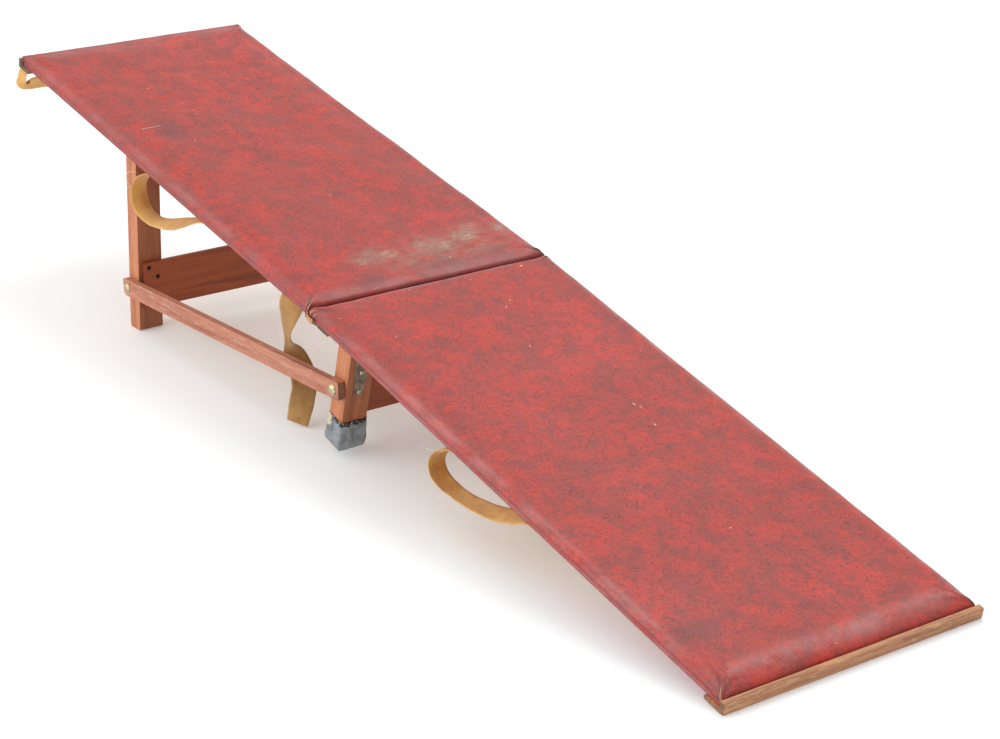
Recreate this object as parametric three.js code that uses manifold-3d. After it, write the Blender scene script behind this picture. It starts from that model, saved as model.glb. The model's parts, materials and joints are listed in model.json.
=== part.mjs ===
// A folding treatment stretcher: two padded board halves hinged at the middle, standing as a ramp on
// long rear legs, short front legs and a wooden rail at the low end. Millimetres, +Z up.
// +X runs from the high head end to the low foot end, and the object stands on z = 0.
import * as THREE from "three";
import { mergeVertices } from "three/addons/utils/BufferGeometryUtils.js";
import Module from "manifold-3d";

// ---- driving dimensions ----
const GAP = 0.3; // between pieces that touch on the real object
const HALF_LENGTH = 905; // each padded half, fold to end
const WIDTH = 406;
const THICKNESS = 16; // padded board at its edges
const UPPER_TILT = THREE.MathUtils.degToRad(10.0);
const LOWER_TILT = THREE.MathUtils.degToRad(12.1);
const FOLD_CLEARANCE = 1.0; // each half stops this short of the fold line

const COVER_T = 1.0;
const HEM_T = 0.7;
const HEM_WIDTH = 55;
const PAD_T = 5.2;
const BOARD_INSET = 5; // from the cover's outer faces
const BOARD_CORNER = 6;

const RAIL_OUT = 9; // end rail past the cover
const RAIL_DEPTH = 21.5; // underside of the end rail below the board's top
const RAIL_LIP_TOP = 5.5; // top of the rail's lip below the board's top
const RAIL_UNDER = 26; // the rail's ledge under the board
const RAIL_LENGTH = WIDTH + 4;
const RAIL_WEAR = 5; // foot rail's bottom edge, worn flat where it stands on the floor

const BATTEN_W = 30; // across the fold end of each half
const BATTEN_BOTTOM = 37; // below the board's top
const BATTEN_LENGTH = 372;
const FOLD_PIN_DEPTH = 39;

const LEG_W = 40; // across the board
const LEG_T = 32; // along the board
const LEG_OUTER = 191.5; // outer face from the centre line
const PIN_DROP = 3; // leg hinge pin below the underside, and out from the leg's face
const REAR_PIN_X = 564.7; // from the fold, along the upper half
const FRONT_PIN_X = 102.7; // from the fold, along the lower half
const REAR_LEAN = THREE.MathUtils.degToRad(7.43); // from square to the upper half
const FRONT_LEAN = THREE.MathUtils.degToRad(2.25); // from square to the lower half
const FRONT_LEG_LENGTH = 165; // pin to foot
const FRONT_FOOT_ROUND = 14;
const FOOT_ROUND = 5;

const CROSSBAR_H = 75;
const CROSSBAR_T = 7;
const CROSSBAR_LENGTH = 372;
const COUNTERSINK = 2.6;
const REAR_CROSSBAR_TOP = 175; // from the pin, down the leg
const FRONT_CROSSBAR_TOP = 62;

const LINK_W = 27;
const LINK_T = 10.4;
const LINK_INNER = LEG_OUTER + 1.7;
const REAR_PIVOT_DOWN = 219.5; // from the leg hinge pin
const FRONT_PIVOT_DOWN = 69.2;
const LINK_REAR_END = 13; // past the pivot
const LINK_FRONT_END = 15;
const BOLT_R = 3;
const BOLT_HEAD_R = 8;
const BOLT_HEAD_H = 3.4;
const BOLT_NUT_R = 6.5;
const BOLT_NUT_H = 5;
const SLOT_W = 1.4;
const SLOT_DEPTH = 1.3;

const LEAF_T = 1.6;
const HINGE_W = 26; // leg hinges, across the board
const PIN_R = 1.4;
const KNUCKLE_R = 2.7;
const KNUCKLE_MIDDLE = 8.4; // length of the moving leaf's knuckle
const STRAP_LENGTH = 77;
const STRAP_TIP_R = 6;
const FIXED_LEAF_LENGTH = 46;
const FOLD_HINGE_W = 50;
const FOLD_LEAF = 27;
const FOLD_HINGE_Y = 120; // centre of each fold hinge from the centre line
const SCREW_R = 3.6;
const SCREW_SHANK_R = 1.7;
const SCREW_HEAD_H = 1.7;
const SCREW_DEPTH = 14;
const STRAP_SCREWS = [38, 70]; // down the strap leaf
const CROSSBAR_SCREWS = [[8, 9], [25, 24], [46, 11]]; // down from the top, in from the end

const WEB_T = 2.4;
const HANDLE_WEB = 30;
const HANDLE_Y = -197; // middle of both carrying loops, whose webbing is flat across the board
// Middle of each loop's webbing: along from the fold, and below the board's top.
const HANDLE_UPPER_PATH = [[455, 18], [474, 18.4], [494, 27], [507, 46], [506, 67], [494, 81], [474, 86],
  [446, 82], [415, 72], [385, 58], [352, 41], [322, 25], [304, 18.8], [282, 18]];
const HANDLE_LOWER_PATH = [[368, 18], [352, 18.4], [336, 27], [324, 45], [326, 62], [343, 71], [379, 70],
  [412, 62], [440, 53], [472, 39], [500, 26], [520, 18.8], [542, 18]];
const HEAD_WEB = 30;
const HEAD_STRAP_X = 908;
const LOOSE_WEB = 34;
const LOOSE_Y = -174;
const TAPE_T = 0.9;
const TAPE_HEIGHT = 46;

// ---- solids ----
const wasm = await Module();
wasm.setup();

function toSolid(geometry) {
  const bare = geometry.clone();
  bare.deleteAttribute("normal");
  bare.deleteAttribute("uv");
  const merged = mergeVertices(bare, 1e-4);
  const vertProperties = new Float32Array(merged.attributes.position.array);
  const triVerts = new Uint32Array(merged.index.array);
  return new wasm.Manifold(new wasm.Mesh({ numProp: 3, vertProperties, triVerts }));
}

function toGeometry(solid) {
  const mesh = solid.getMesh();
  const geometry = new THREE.BufferGeometry();
  geometry.setAttribute("position", new THREE.BufferAttribute(mesh.vertProperties, 3));
  geometry.setIndex(new THREE.BufferAttribute(mesh.triVerts, 1));
  geometry.computeVertexNormals();
  return geometry;
}

const join = (first, ...rest) => rest.reduce((a, b) => a.add(b), first);
const cut = (first, ...rest) => rest.reduce((a, b) => a.subtract(b), first);

// A box from its lowest to its highest corner.
function block([x0, y0, z0], [x1, y1, z1]) {
  const geometry = new THREE.BoxGeometry(x1 - x0, y1 - y0, z1 - z0);
  geometry.translate((x0 + x1) / 2, (y0 + y1) / 2, (z0 + z1) / 2);
  return toSolid(geometry);
}

// An outline in X and Z carried from y0 to y1.
function prism(shape, y0, y1, segments = 6) {
  const geometry = new THREE.ExtrudeGeometry(shape, {
    depth: y1 - y0,
    bevelEnabled: false,
    curveSegments: segments,
  });
  geometry.rotateX(Math.PI / 2);
  geometry.translate(0, y1, 0);
  return toSolid(geometry);
}

// A round bar along Y.
function barY(radius, x, z, y0, y1, sides = 20) {
  const geometry = new THREE.CylinderGeometry(radius, radius, y1 - y0, sides);
  geometry.translate(x, (y0 + y1) / 2, z);
  return toSolid(geometry);
}

// A closed outline through corners given as [x, z, radius].
function roundedShape(corners) {
  const shape = new THREE.Shape();
  corners.forEach(([x, z, r], i) => {
    const corner = new THREE.Vector2(x, z);
    const before = corners[(i + corners.length - 1) % corners.length];
    const after = corners[(i + 1) % corners.length];
    const back = new THREE.Vector2(before[0], before[1]).sub(corner).setLength(r).add(corner);
    const ahead = new THREE.Vector2(after[0], after[1]).sub(corner).setLength(r).add(corner);
    if (i === 0) shape.moveTo(back.x, back.y);
    else shape.lineTo(back.x, back.y);
    if (r > 0) shape.quadraticCurveTo(corner.x, corner.y, ahead.x, ahead.y);
  });
  shape.closePath();
  return shape;
}

// Flat webbing along a curve that lies in one plane; its width runs square to that plane.
function ribbon(points, width, steps) {
  const curve = new THREE.CatmullRomCurve3(points.map((p) => new THREE.Vector3(...p)));
  const section = new THREE.Shape();
  section.moveTo(-width / 2, -WEB_T / 2);
  section.lineTo(width / 2, -WEB_T / 2);
  section.lineTo(width / 2, WEB_T / 2);
  section.lineTo(-width / 2, WEB_T / 2);
  section.closePath();
  return toSolid(new THREE.ExtrudeGeometry(section, { extrudePath: curve, steps }));
}

// ---- frames: a point and a tilt about Y, all measured in the ramp's standing pose ----
function makeFrame(x, z, tilt) {
  const group = new THREE.Group();
  group.position.set(x, 0, z);
  group.rotation.y = tilt;
  return { x, z, tilt, group };
}

function toWorld(frame, x, z) {
  const c = Math.cos(frame.tilt);
  const s = Math.sin(frame.tilt);
  return [frame.x + x * c + z * s, frame.z - x * s + z * c];
}

const footReach = HALF_LENGTH + RAIL_OUT - RAIL_WEAR;
const foldHeight = footReach * Math.sin(LOWER_TILT) + RAIL_DEPTH * Math.cos(LOWER_TILT);
const upper = makeFrame(0, foldHeight, UPPER_TILT);
const lower = makeFrame(0, foldHeight, LOWER_TILT);
const middleTilt = (UPPER_TILT + LOWER_TILT) / 2;
const foldPin = makeFrame(
  -FOLD_PIN_DEPTH * Math.sin(middleTilt),
  foldHeight - FOLD_PIN_DEPTH * Math.cos(middleTilt),
  middleTilt,
);
const pinDepth = THICKNESS + PIN_DROP;
const rear = makeFrame(...toWorld(upper, -REAR_PIN_X, -pinDepth), UPPER_TILT - REAR_LEAN);
const front = makeFrame(...toWorld(lower, FRONT_PIN_X, -pinDepth), LOWER_TILT + FRONT_LEAN);
const legMiddle = PIN_DROP + LEG_T / 2;
const rearPivot = toWorld(rear, legMiddle, -REAR_PIVOT_DOWN);
const frontPivot = toWorld(front, -legMiddle, -FRONT_PIVOT_DOWN);
const linkLength = Math.hypot(frontPivot[0] - rearPivot[0], frontPivot[1] - rearPivot[1]);
const linkTilt = Math.atan2(rearPivot[1] - frontPivot[1], frontPivot[0] - rearPivot[0]);
const link = makeFrame(...rearPivot, linkTilt);
const frames = { upper, lower, foldPin, rear, front, link };

// ---- materials ----
const finishes = {
  vinyl: { color: 0xb8453a, roughness: 0.5, metalness: 0 },
  foam: { color: 0xd9c27a, roughness: 0.95, metalness: 0 },
  plywood: { color: 0xc79a66, roughness: 0.8, metalness: 0 },
  rail_wood: { color: 0xa8774c, roughness: 0.75, metalness: 0 },
  leg_wood: { color: 0xc07850, roughness: 0.65, metalness: 0 },
  crossbar_wood: { color: 0x7d3f26, roughness: 0.65, metalness: 0 },
  hinge_steel: { color: 0x6e655a, roughness: 0.55, metalness: 0.8 },
  brass: { color: 0xb8a76a, roughness: 0.4, metalness: 0.9 },
  dark_screw: { color: 0x3a2a22, roughness: 0.6, metalness: 0.7 },
  webbing: { color: 0xc9a055, roughness: 0.9, metalness: 0 },
  tape: { color: 0x858a8c, roughness: 0.5, metalness: 0 },
};

function addMesh(frame, name, solid, finish) {
  const material = new THREE.MeshStandardMaterial(finishes[finish]);
  const mesh = new THREE.Mesh(toGeometry(solid), material);
  mesh.name = name;
  frame.group.add(mesh);
}

const SIDES = [["near", -1], ["far", 1]];
const ends = (side, a, b) => (side < 0 ? [-b, -a] : [a, b]); // from a to b out from the centre line

// ---- padded board halves: way is -1 for the upper half (towards the head), 1 for the lower ----
function slab(way, inset, top, bottom, endInset = inset) {
  const xs = [way * (FOLD_CLEARANCE + endInset), way * (HALF_LENGTH - endInset)].sort((a, b) => a - b);
  const y = WIDTH / 2 - inset;
  return block([xs[0], -y, -bottom], [xs[1], y, -top]);
}

// The same with rounded corners in plan.
function roundedSlab(way, inset, top, bottom, radius) {
  const a = way * (FOLD_CLEARANCE + inset);
  const b = way * (HALF_LENGTH - inset);
  const y = WIDTH / 2 - inset;
  const shape = roundedShape([[a, -y, radius], [b, -y, radius], [b, y, radius], [a, y, radius]]);
  const geometry = new THREE.ExtrudeGeometry(shape, { depth: bottom - top, bevelEnabled: false, curveSegments: 4 });
  geometry.translate(0, 0, -bottom);
  return toSolid(geometry);
}

function addBoardHalf(frame, way, half) {
  const wall = COVER_T + GAP;
  const boardTop = wall + PAD_T + GAP;
  const boardBottom = THICKNESS - HEM_T - GAP;
  const hollow = slab(way, COVER_T, COVER_T, THICKNESS - HEM_T);
  const mouth = slab(way, HEM_WIDTH, THICKNESS / 2, THICKNESS + 1, HEM_WIDTH);
  const cover = cut(slab(way, 0, 0, THICKNESS), hollow, mouth);
  addMesh(frame, `cover_${half}`, cover, "vinyl");
  addMesh(frame, `pad_${half}`, slab(way, wall, wall, wall + PAD_T), "foam");
  addMesh(frame, `board_${half}`, roundedSlab(way, BOARD_INSET, boardTop, boardBottom, BOARD_CORNER), "plywood");
}

// wear is the width of the flat along the bottom edge, level when the ramp stands.
function addEndRail(frame, way, name, wear) {
  const inner = HALF_LENGTH - RAIL_UNDER;
  const lip = HALF_LENGTH + GAP;
  const outer = HALF_LENGTH + RAIL_OUT;
  const under = -(THICKNESS + GAP);
  const corners = [
    [way * inner, under, 0],
    [way * lip, under, 0],
    [way * lip, -RAIL_LIP_TOP, 0],
    [way * outer, -RAIL_LIP_TOP, 3],
    [way * outer, -(RAIL_DEPTH - wear * Math.tan(LOWER_TILT)), 0],
    [way * (outer - wear), -RAIL_DEPTH, 0],
    [way * inner, -RAIL_DEPTH, 2],
  ];
  const shape = roundedShape(corners);
  addMesh(frame, name, prism(shape, -RAIL_LENGTH / 2, RAIL_LENGTH / 2), "rail_wood");
}

function addBatten(frame, way, name) {
  const near = way * (FOLD_CLEARANCE + 1);
  const far = way * (FOLD_CLEARANCE + 1 + BATTEN_W);
  const top = -(THICKNESS + GAP);
  const corners = [[near, top, 0], [far, top, 0], [far, -BATTEN_BOTTOM, 5], [near, -BATTEN_BOTTOM, 1]];
  const solid = prism(roundedShape(corners), -BATTEN_LENGTH / 2, BATTEN_LENGTH / 2);
  addMesh(frame, name, solid, "rail_wood");
}

// ---- hinges ----
// Knuckles round a pin at x = 0, z = 0: the middle one, or the two outer ones.
function knuckles(middle, width, centre) {
  const half = KNUCKLE_MIDDLE / 2;
  const spans = middle ? [[-half, half]] : [[-width / 2, -half - GAP], [half + GAP, width / 2]];
  const bars = spans.map(([a, b]) => barY(KNUCKLE_R, 0, 0, centre + a, centre + b, 16));
  return { bars, spans };
}

// A leaf whose plate runs out along +X or -X just above the pin, joined to its knuckles.
function flatLeaf(way, middle, width, length, centre, bottom, top) {
  const { bars, spans } = knuckles(middle, width, centre);
  const clear = KNUCKLE_R + GAP;
  const plateX = [way * clear, way * length].sort((a, b) => a - b);
  const plate = block([plateX[0], centre - width / 2, bottom], [plateX[1], centre + width / 2, top]);
  const tabX = [0, way * (clear + 1)].sort((a, b) => a - b);
  const tabs = spans.map(([a, b]) => block([tabX[0], centre + a, bottom], [tabX[1], centre + b, top]));
  const bore = barY(PIN_R + 0.2, 0, 0, centre - width, centre + width, 16);
  return cut(join(plate, ...tabs, ...bars), bore);
}

// The tapered strap that is screwed down the leg's face; way says on which side of the pin the leg is.
function strapLeaf(way, centre) {
  const { bars } = knuckles(true, HINGE_W, centre);
  const inner = PIN_DROP - GAP - LEAF_T;
  const xs = [way * inner, way * (inner + LEAF_T)].sort((a, b) => a - b);
  const outline = roundedShape([
    [-HINGE_W / 2, -KNUCKLE_R - GAP, 0],
    [-HINGE_W / 2, -14, 4],
    [-STRAP_TIP_R, -STRAP_LENGTH, STRAP_TIP_R - 0.5],
    [STRAP_TIP_R, -STRAP_LENGTH, STRAP_TIP_R - 0.5],
    [HINGE_W / 2, -14, 4],
    [HINGE_W / 2, -KNUCKLE_R - GAP, 0],
  ]);
  const geometry = new THREE.ExtrudeGeometry(outline, { depth: LEAF_T, bevelEnabled: false, curveSegments: 5 });
  geometry.rotateX(Math.PI / 2);
  geometry.rotateZ(Math.PI / 2);
  geometry.translate(xs[0], centre, 0);
  const half = KNUCKLE_MIDDLE / 2;
  const tab = block([xs[0], centre - half, -KNUCKLE_R - GAP - 1], [xs[1], centre + half, 0]);
  const bore = barY(PIN_R + 0.2, 0, 0, centre - HINGE_W, centre + HINGE_W, 16);
  const holes = STRAP_SCREWS.map((down) => barX(SCREW_SHANK_R + 0.2, down, centre, xs[0] - 1, xs[1] + 1));
  return cut(join(toSolid(geometry), tab, ...bars), bore, ...holes);
}

function barX(radius, down, y, x0, x1) {
  const geometry = new THREE.CylinderGeometry(radius, radius, x1 - x0, 12);
  geometry.rotateZ(Math.PI / 2);
  geometry.translate((x0 + x1) / 2, y, -down);
  return toSolid(geometry);
}

// A round-headed screw lying along X: its head is at x = 0 and its shank runs towards way.
function screwX(way) {
  const r = SCREW_R;
  const h = SCREW_HEAD_H;
  const profile = [[0, -h], [r * 0.6, -h * 0.85], [r * 0.9, -h * 0.45], [r, 0], [SCREW_SHANK_R, 0],
    [SCREW_SHANK_R, SCREW_DEPTH - 3], [0, SCREW_DEPTH]];
  const geometry = new THREE.LatheGeometry(profile.map(([a, b]) => new THREE.Vector2(a, b)), 12);
  geometry.rotateZ(-way * Math.PI / 2);
  const slot = block([-h - 1, -r, -0.5], [-h * 0.45, r, 0.5]);
  const slotWay = way > 0 ? slot : slot.rotate([0, 0, 180]);
  return cut(toSolid(geometry), slotWay);
}

// A pivot bolt along Y with a slotted dome head outside; length is its shank, nut says if it has one.
function pivotBolt(side, x, z, headFace, length, nut) {
  const h = BOLT_HEAD_H;
  const r = BOLT_HEAD_R;
  const profile = [[0, h], [r * 0.45, h * 0.92], [r * 0.8, h * 0.6], [r, h * 0.12], [r, 0], [BOLT_R, 0]];
  if (nut) {
    profile.push([BOLT_R, -length], [BOLT_NUT_R, -length], [BOLT_NUT_R, -length - BOLT_NUT_H]);
    profile.push([0, -length - BOLT_NUT_H]);
  } else {
    profile.push([BOLT_R, -length], [0, -length]);
  }
  const points = profile.reverse().map(([a, b]) => new THREE.Vector2(a, b));
  const geometry = new THREE.LatheGeometry(points, 20);
  const slot = block([-r, h - SLOT_DEPTH, -SLOT_W / 2], [r, h + 1, SLOT_W / 2]);
  const bolt = cut(toSolid(geometry), slot);
  const turned = bolt.rotate([side < 0 ? 180 : 0, 25, 0]);
  return turned.translate([x, side * headFace, z]);
}

function addLegHinge(board, leg, way, name, side, pinX) {
  const y = side * (LEG_OUTER - LEG_W / 2);
  const fixed = flatLeaf(way, false, HINGE_W, FIXED_LEAF_LENGTH, y, PIN_DROP - GAP - LEAF_T, PIN_DROP - GAP);
  addMesh(board, `${name}_fixed_leaf`, fixed.translate([pinX, 0, -pinDepth]), "hinge_steel");
  addMesh(leg, `${name}_strap_leaf`, strapLeaf(-way, y), "hinge_steel");
  addMesh(board, `${name}_pin`, barY(PIN_R, pinX, -pinDepth, y - HINGE_W / 2, y + HINGE_W / 2, 16), "hinge_steel");
}

function addStrapScrews(leg, way, name, side) {
  const y = side * (LEG_OUTER - LEG_W / 2);
  const face = way * (PIN_DROP - GAP - LEAF_T - GAP);
  STRAP_SCREWS.forEach((down, i) => {
    addMesh(leg, `${name}_screw_${i + 1}`, screwX(way).translate([face, y, -down]), "brass");
  });
}

function addFoldHinge(name, side) {
  const y = side * FOLD_HINGE_Y;
  const top = FOLD_PIN_DEPTH - BATTEN_BOTTOM - GAP;
  const bottom = top - LEAF_T;
  const turn = (UPPER_TILT - LOWER_TILT) / 2;
  const degrees = THREE.MathUtils.radToDeg(turn);
  const upperLeaf = flatLeaf(-1, false, FOLD_HINGE_W, FOLD_LEAF, y, bottom, top).rotate([0, degrees, 0]);
  const lowerLeaf = flatLeaf(1, true, FOLD_HINGE_W, FOLD_LEAF, y, bottom, top).rotate([0, -degrees, 0]);
  addMesh(foldPin, `${name}_upper_leaf`, upperLeaf, "hinge_steel");
  addMesh(foldPin, `${name}_lower_leaf`, lowerLeaf, "hinge_steel");
  const pin = barY(PIN_R, 0, 0, y - FOLD_HINGE_W / 2, y + FOLD_HINGE_W / 2, 16);
  addMesh(foldPin, `${name}_pin`, pin, "hinge_steel");
}

// ---- legs ----
// way is 1 where the leg is on the +X side of its pin.
function legOutline(way, lean, footCorners) {
  const outer = way * (PIN_DROP + LEG_T);
  const inner = way * PIN_DROP;
  const topAt = (x) => (PIN_DROP - GAP - Math.abs(x) * Math.sin(lean)) / Math.cos(lean);
  return roundedShape([[inner, topAt(inner), 0], [outer, topAt(outer), 0], ...footCorners]);
}

// bored legs take the link bolt; screwRows are the crossbar's screws.
function addLegs(frame, way, lean, foot, name, bored, screwRows) {
  for (const [end, side] of SIDES) {
    const [y0, y1] = ends(side, LEG_OUTER - LEG_W, LEG_OUTER);
    const y = (y0 + y1) / 2;
    const faceX = way * PIN_DROP;
    const x = [faceX - way * 2, faceX + way * SCREW_DEPTH].sort((a, b) => a - b);
    const pilots = STRAP_SCREWS.map((down) => barX(SCREW_SHANK_R + 0.2, down, y, x[0], x[1]));
    const bore = barY(BOLT_R + 0.2, way * legMiddle, -REAR_PIVOT_DOWN, y0 - 1, y1 + 1, 20);
    const holes = screwRows.map((row) => crossbarHole(side, row));
    const through = bored ? [bore, ...holes] : holes;
    const solid = cut(prism(legOutline(way, lean, foot), y0, y1), ...pilots, ...through);
    addMesh(frame, `${name}_leg_${end}`, solid, "leg_wood");
  }
}

// The countersunk profile of a crossbar screw, from its flat head at x = 0 towards -X; grow is clearance.
function countersunk(grow, length) {
  const head = SCREW_R + grow;
  const shank = SCREW_SHANK_R + grow;
  const profile = [[0, -length], [shank, -length], [shank, -COUNTERSINK - grow], [head, -grow / 2]];
  profile.push([head, grow > 0 ? 1 : 0], [0, grow > 0 ? 1 : 0]);
  const geometry = new THREE.LatheGeometry(profile.map(([a, b]) => new THREE.Vector2(a, b)), 12);
  geometry.rotateZ(-Math.PI / 2);
  return toSolid(geometry);
}

function crossbarScrewAt(solid, side, [down, inFromEnd]) {
  const x = PIN_DROP + LEG_T + GAP + CROSSBAR_T;
  return solid.translate([x, side * (CROSSBAR_LENGTH / 2 - inFromEnd), -REAR_CROSSBAR_TOP - down]);
}

function crossbarHole(side, row) {
  return crossbarScrewAt(countersunk(0.25, SCREW_DEPTH + 1), side, row);
}

function crossbarSolid(way, top) {
  const near = way * (PIN_DROP + LEG_T + GAP);
  const far = way * (PIN_DROP + LEG_T + GAP + CROSSBAR_T);
  const x = [near, far].sort((a, b) => a - b);
  const y = CROSSBAR_LENGTH / 2;
  return block([x[0], -y, -top - CROSSBAR_H], [x[1], y, -top]);
}

function addCrossbarScrews() {
  const slot = block([-0.8, -SCREW_R - 1, -0.5], [1, SCREW_R + 1, 0.5]);
  for (const [end, side] of SIDES) {
    CROSSBAR_SCREWS.forEach((row, i) => {
      const screw = crossbarScrewAt(cut(countersunk(0, SCREW_DEPTH), slot), side, row);
      addMesh(rear, `crossbar_screw_${end}_${i + 1}`, screw, "dark_screw");
    });
  }
}

// The rear legs' feet are cut level with the floor.
function rearFoot() {
  const floorAt = (x) => {
    const s = Math.sin(rear.tilt);
    const c = Math.cos(rear.tilt);
    return (-rear.z + x * s) / c;
  };
  const outer = PIN_DROP + LEG_T;
  return [[outer, floorAt(outer), FOOT_ROUND], [PIN_DROP, floorAt(PIN_DROP), FOOT_ROUND]];
}

function frontFoot() {
  const outer = -(PIN_DROP + LEG_T);
  return [[outer, -FRONT_LEG_LENGTH, FOOT_ROUND], [-PIN_DROP, -FRONT_LEG_LENGTH, FRONT_FOOT_ROUND]];
}

// ---- links ----
function addLinks() {
  const half = LINK_W / 2;
  const right = linkLength + LINK_FRONT_END;
  const outline = roundedShape([
    [-LINK_REAR_END, half, 3],
    [right, half, 4],
    [right, -half, 5],
    [-LINK_REAR_END, -half, 9],
  ]);
  const headFace = LINK_INNER + LINK_T + GAP;
  for (const [end, side] of SIDES) {
    const [y0, y1] = ends(side, LINK_INNER, LINK_INNER + LINK_T);
    const y = (y0 + y1) / 2;
    const bores = [0, linkLength].map((x) => barY(BOLT_R + 0.3, x, 0, y - LINK_T, y + LINK_T, 20));
    addMesh(link, `link_${end}`, cut(prism(outline, y0, y1), ...bores), "leg_wood");
    const through = headFace - (LEG_OUTER - LEG_W) + GAP;
    const rearBolt = pivotBolt(side, legMiddle, -REAR_PIVOT_DOWN, headFace, through, true);
    addMesh(rear, `link_bolt_rear_${end}`, rearBolt, "brass");
    const stub = LINK_T + GAP - 0.1;
    addMesh(link, `link_bolt_front_${end}`, pivotBolt(side, linkLength, 0, headFace, stub, false), "brass");
  }
}

// ---- tape wrapped round the near front foot, open at the top ----
function addTape() {
  const grow = TAPE_T + GAP;
  const way = -1;
  const inner = way * (PIN_DROP - grow);
  const outer = way * (PIN_DROP + LEG_T + grow);
  const top = -(FRONT_LEG_LENGTH - TAPE_HEIGHT);
  const outline = (extra, topZ) => {
    const a = inner - way * (extra - grow);
    const b = outer + way * (extra - grow);
    const bottom = -(FRONT_LEG_LENGTH + extra);
    return roundedShape([
      [a, topZ, 0],
      [b, topZ, 0],
      [b, bottom, FOOT_ROUND + extra],
      [a, bottom, FRONT_FOOT_ROUND + extra],
    ]);
  };
  const y0 = -LEG_OUTER;
  const y1 = -LEG_OUTER + LEG_W;
  const skin = prism(outline(grow, top), y0 - GAP, y1 + grow);
  const hollow = prism(outline(GAP, top + 10), y0 - GAP, y1 + GAP);
  const outerWall = prism(outline(grow, top), y0 - grow, y0 - GAP);
  const barBottom = -(FRONT_CROSSBAR_TOP + CROSSBAR_H + GAP);
  const underBar = block([outer - 9, y0 - 9, barBottom], [-(PIN_DROP + LEG_T), y1 + 9, top + 9]);
  addMesh(front, "foot_tape", cut(join(skin, outerWall), hollow, underBar), "tape");
}

// ---- webbing ----
// A carrying loop under the near edge, with both ends flat against the underside.
function addHandle(frame, way, name, points) {
  const path = points.map(([along, depth]) => [way * along, HANDLE_Y, -depth]);
  addMesh(frame, name, ribbon(path, HANDLE_WEB, 72), "webbing");
}

function addHeadStrap() {
  const top = RAIL_DEPTH + GAP;
  const near = RAIL_LENGTH / 2 - 6;
  const half = [[near, top + 1], [near + 4, top + 13], [near - 3, top + 26], [near - 45, top + 30]];
  const points = [...half.map(([y, d]) => [-HEAD_STRAP_X, -y, -d])];
  half.reverse().forEach(([y, d]) => points.push([-HEAD_STRAP_X, y, -d]));
  const tabs = SIDES.map(([, side]) => {
    const [y0, y1] = ends(side, near - 28, near + WEB_T / 2);
    const x = HEAD_STRAP_X;
    return block([-x - HEAD_WEB / 2, y0, -top - WEB_T], [-x + HEAD_WEB / 2, y1, -top]);
  });
  addMesh(upper, "head_strap", join(ribbon(points, HEAD_WEB, 60), ...tabs), "webbing");
}

function addLooseStrap() {
  const points = [[-72, 22], [-83, 62], [-92, 94], [-78, 122], [-50, 137], [-40, 162], [-40, 212]];
  const path = points.map(([x, depth]) => [x, LOOSE_Y, -depth]);
  addMesh(upper, "loose_strap", ribbon(path, LOOSE_WEB, 30), "webbing");
}

// ---- assembly ----
addBoardHalf(upper, -1, "upper");
addBoardHalf(lower, 1, "lower");
addEndRail(upper, -1, "head_rail", 2);
addEndRail(lower, 1, "foot_rail", RAIL_WEAR);
addBatten(upper, -1, "fold_batten_upper");
addBatten(lower, 1, "fold_batten_lower");
for (const [end, side] of SIDES) {
  addFoldHinge(`fold_hinge_${end}`, side);
  addLegHinge(upper, rear, -1, `rear_hinge_${end}`, side, -REAR_PIN_X);
  addLegHinge(lower, front, 1, `front_hinge_${end}`, side, FRONT_PIN_X);
  addStrapScrews(rear, 1, `rear_hinge_${end}`, side);
  addStrapScrews(front, -1, `front_hinge_${end}`, side);
}
addLegs(rear, 1, REAR_LEAN, rearFoot(), "rear", true, CROSSBAR_SCREWS);
addLegs(front, -1, FRONT_LEAN, frontFoot(), "front", false, []);
const rearBarHoles = SIDES.flatMap(([, side]) => CROSSBAR_SCREWS.map((row) => crossbarHole(side, row)));
addMesh(rear, "rear_crossbar", cut(crossbarSolid(1, REAR_CROSSBAR_TOP), ...rearBarHoles), "crossbar_wood");
addMesh(front, "front_crossbar", crossbarSolid(-1, FRONT_CROSSBAR_TOP), "crossbar_wood");
addCrossbarScrews();
addLinks();
addTape();
addHandle(upper, -1, "handle_upper", HANDLE_UPPER_PATH);
addHandle(lower, 1, "handle_lower", HANDLE_LOWER_PATH);
addHeadStrap();
addLooseStrap();

const group = new THREE.Group();
Object.values(frames).forEach((frame) => group.add(frame.group));
group.updateMatrixWorld(true);
const extent = new THREE.Box3().setFromObject(group, true);
const centre = extent.getCenter(new THREE.Vector3());
group.position.set(-centre.x, -centre.y, -extent.min.z);

export default group;
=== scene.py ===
# A folding treatment stretcher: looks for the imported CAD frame. Blender's own values are in metres; places and
# shapes are written in mm and scaled by MM.
import json
import math
import random

import bmesh
import bpy
import numpy as np
from mathutils import Matrix, Vector, noise


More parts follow.
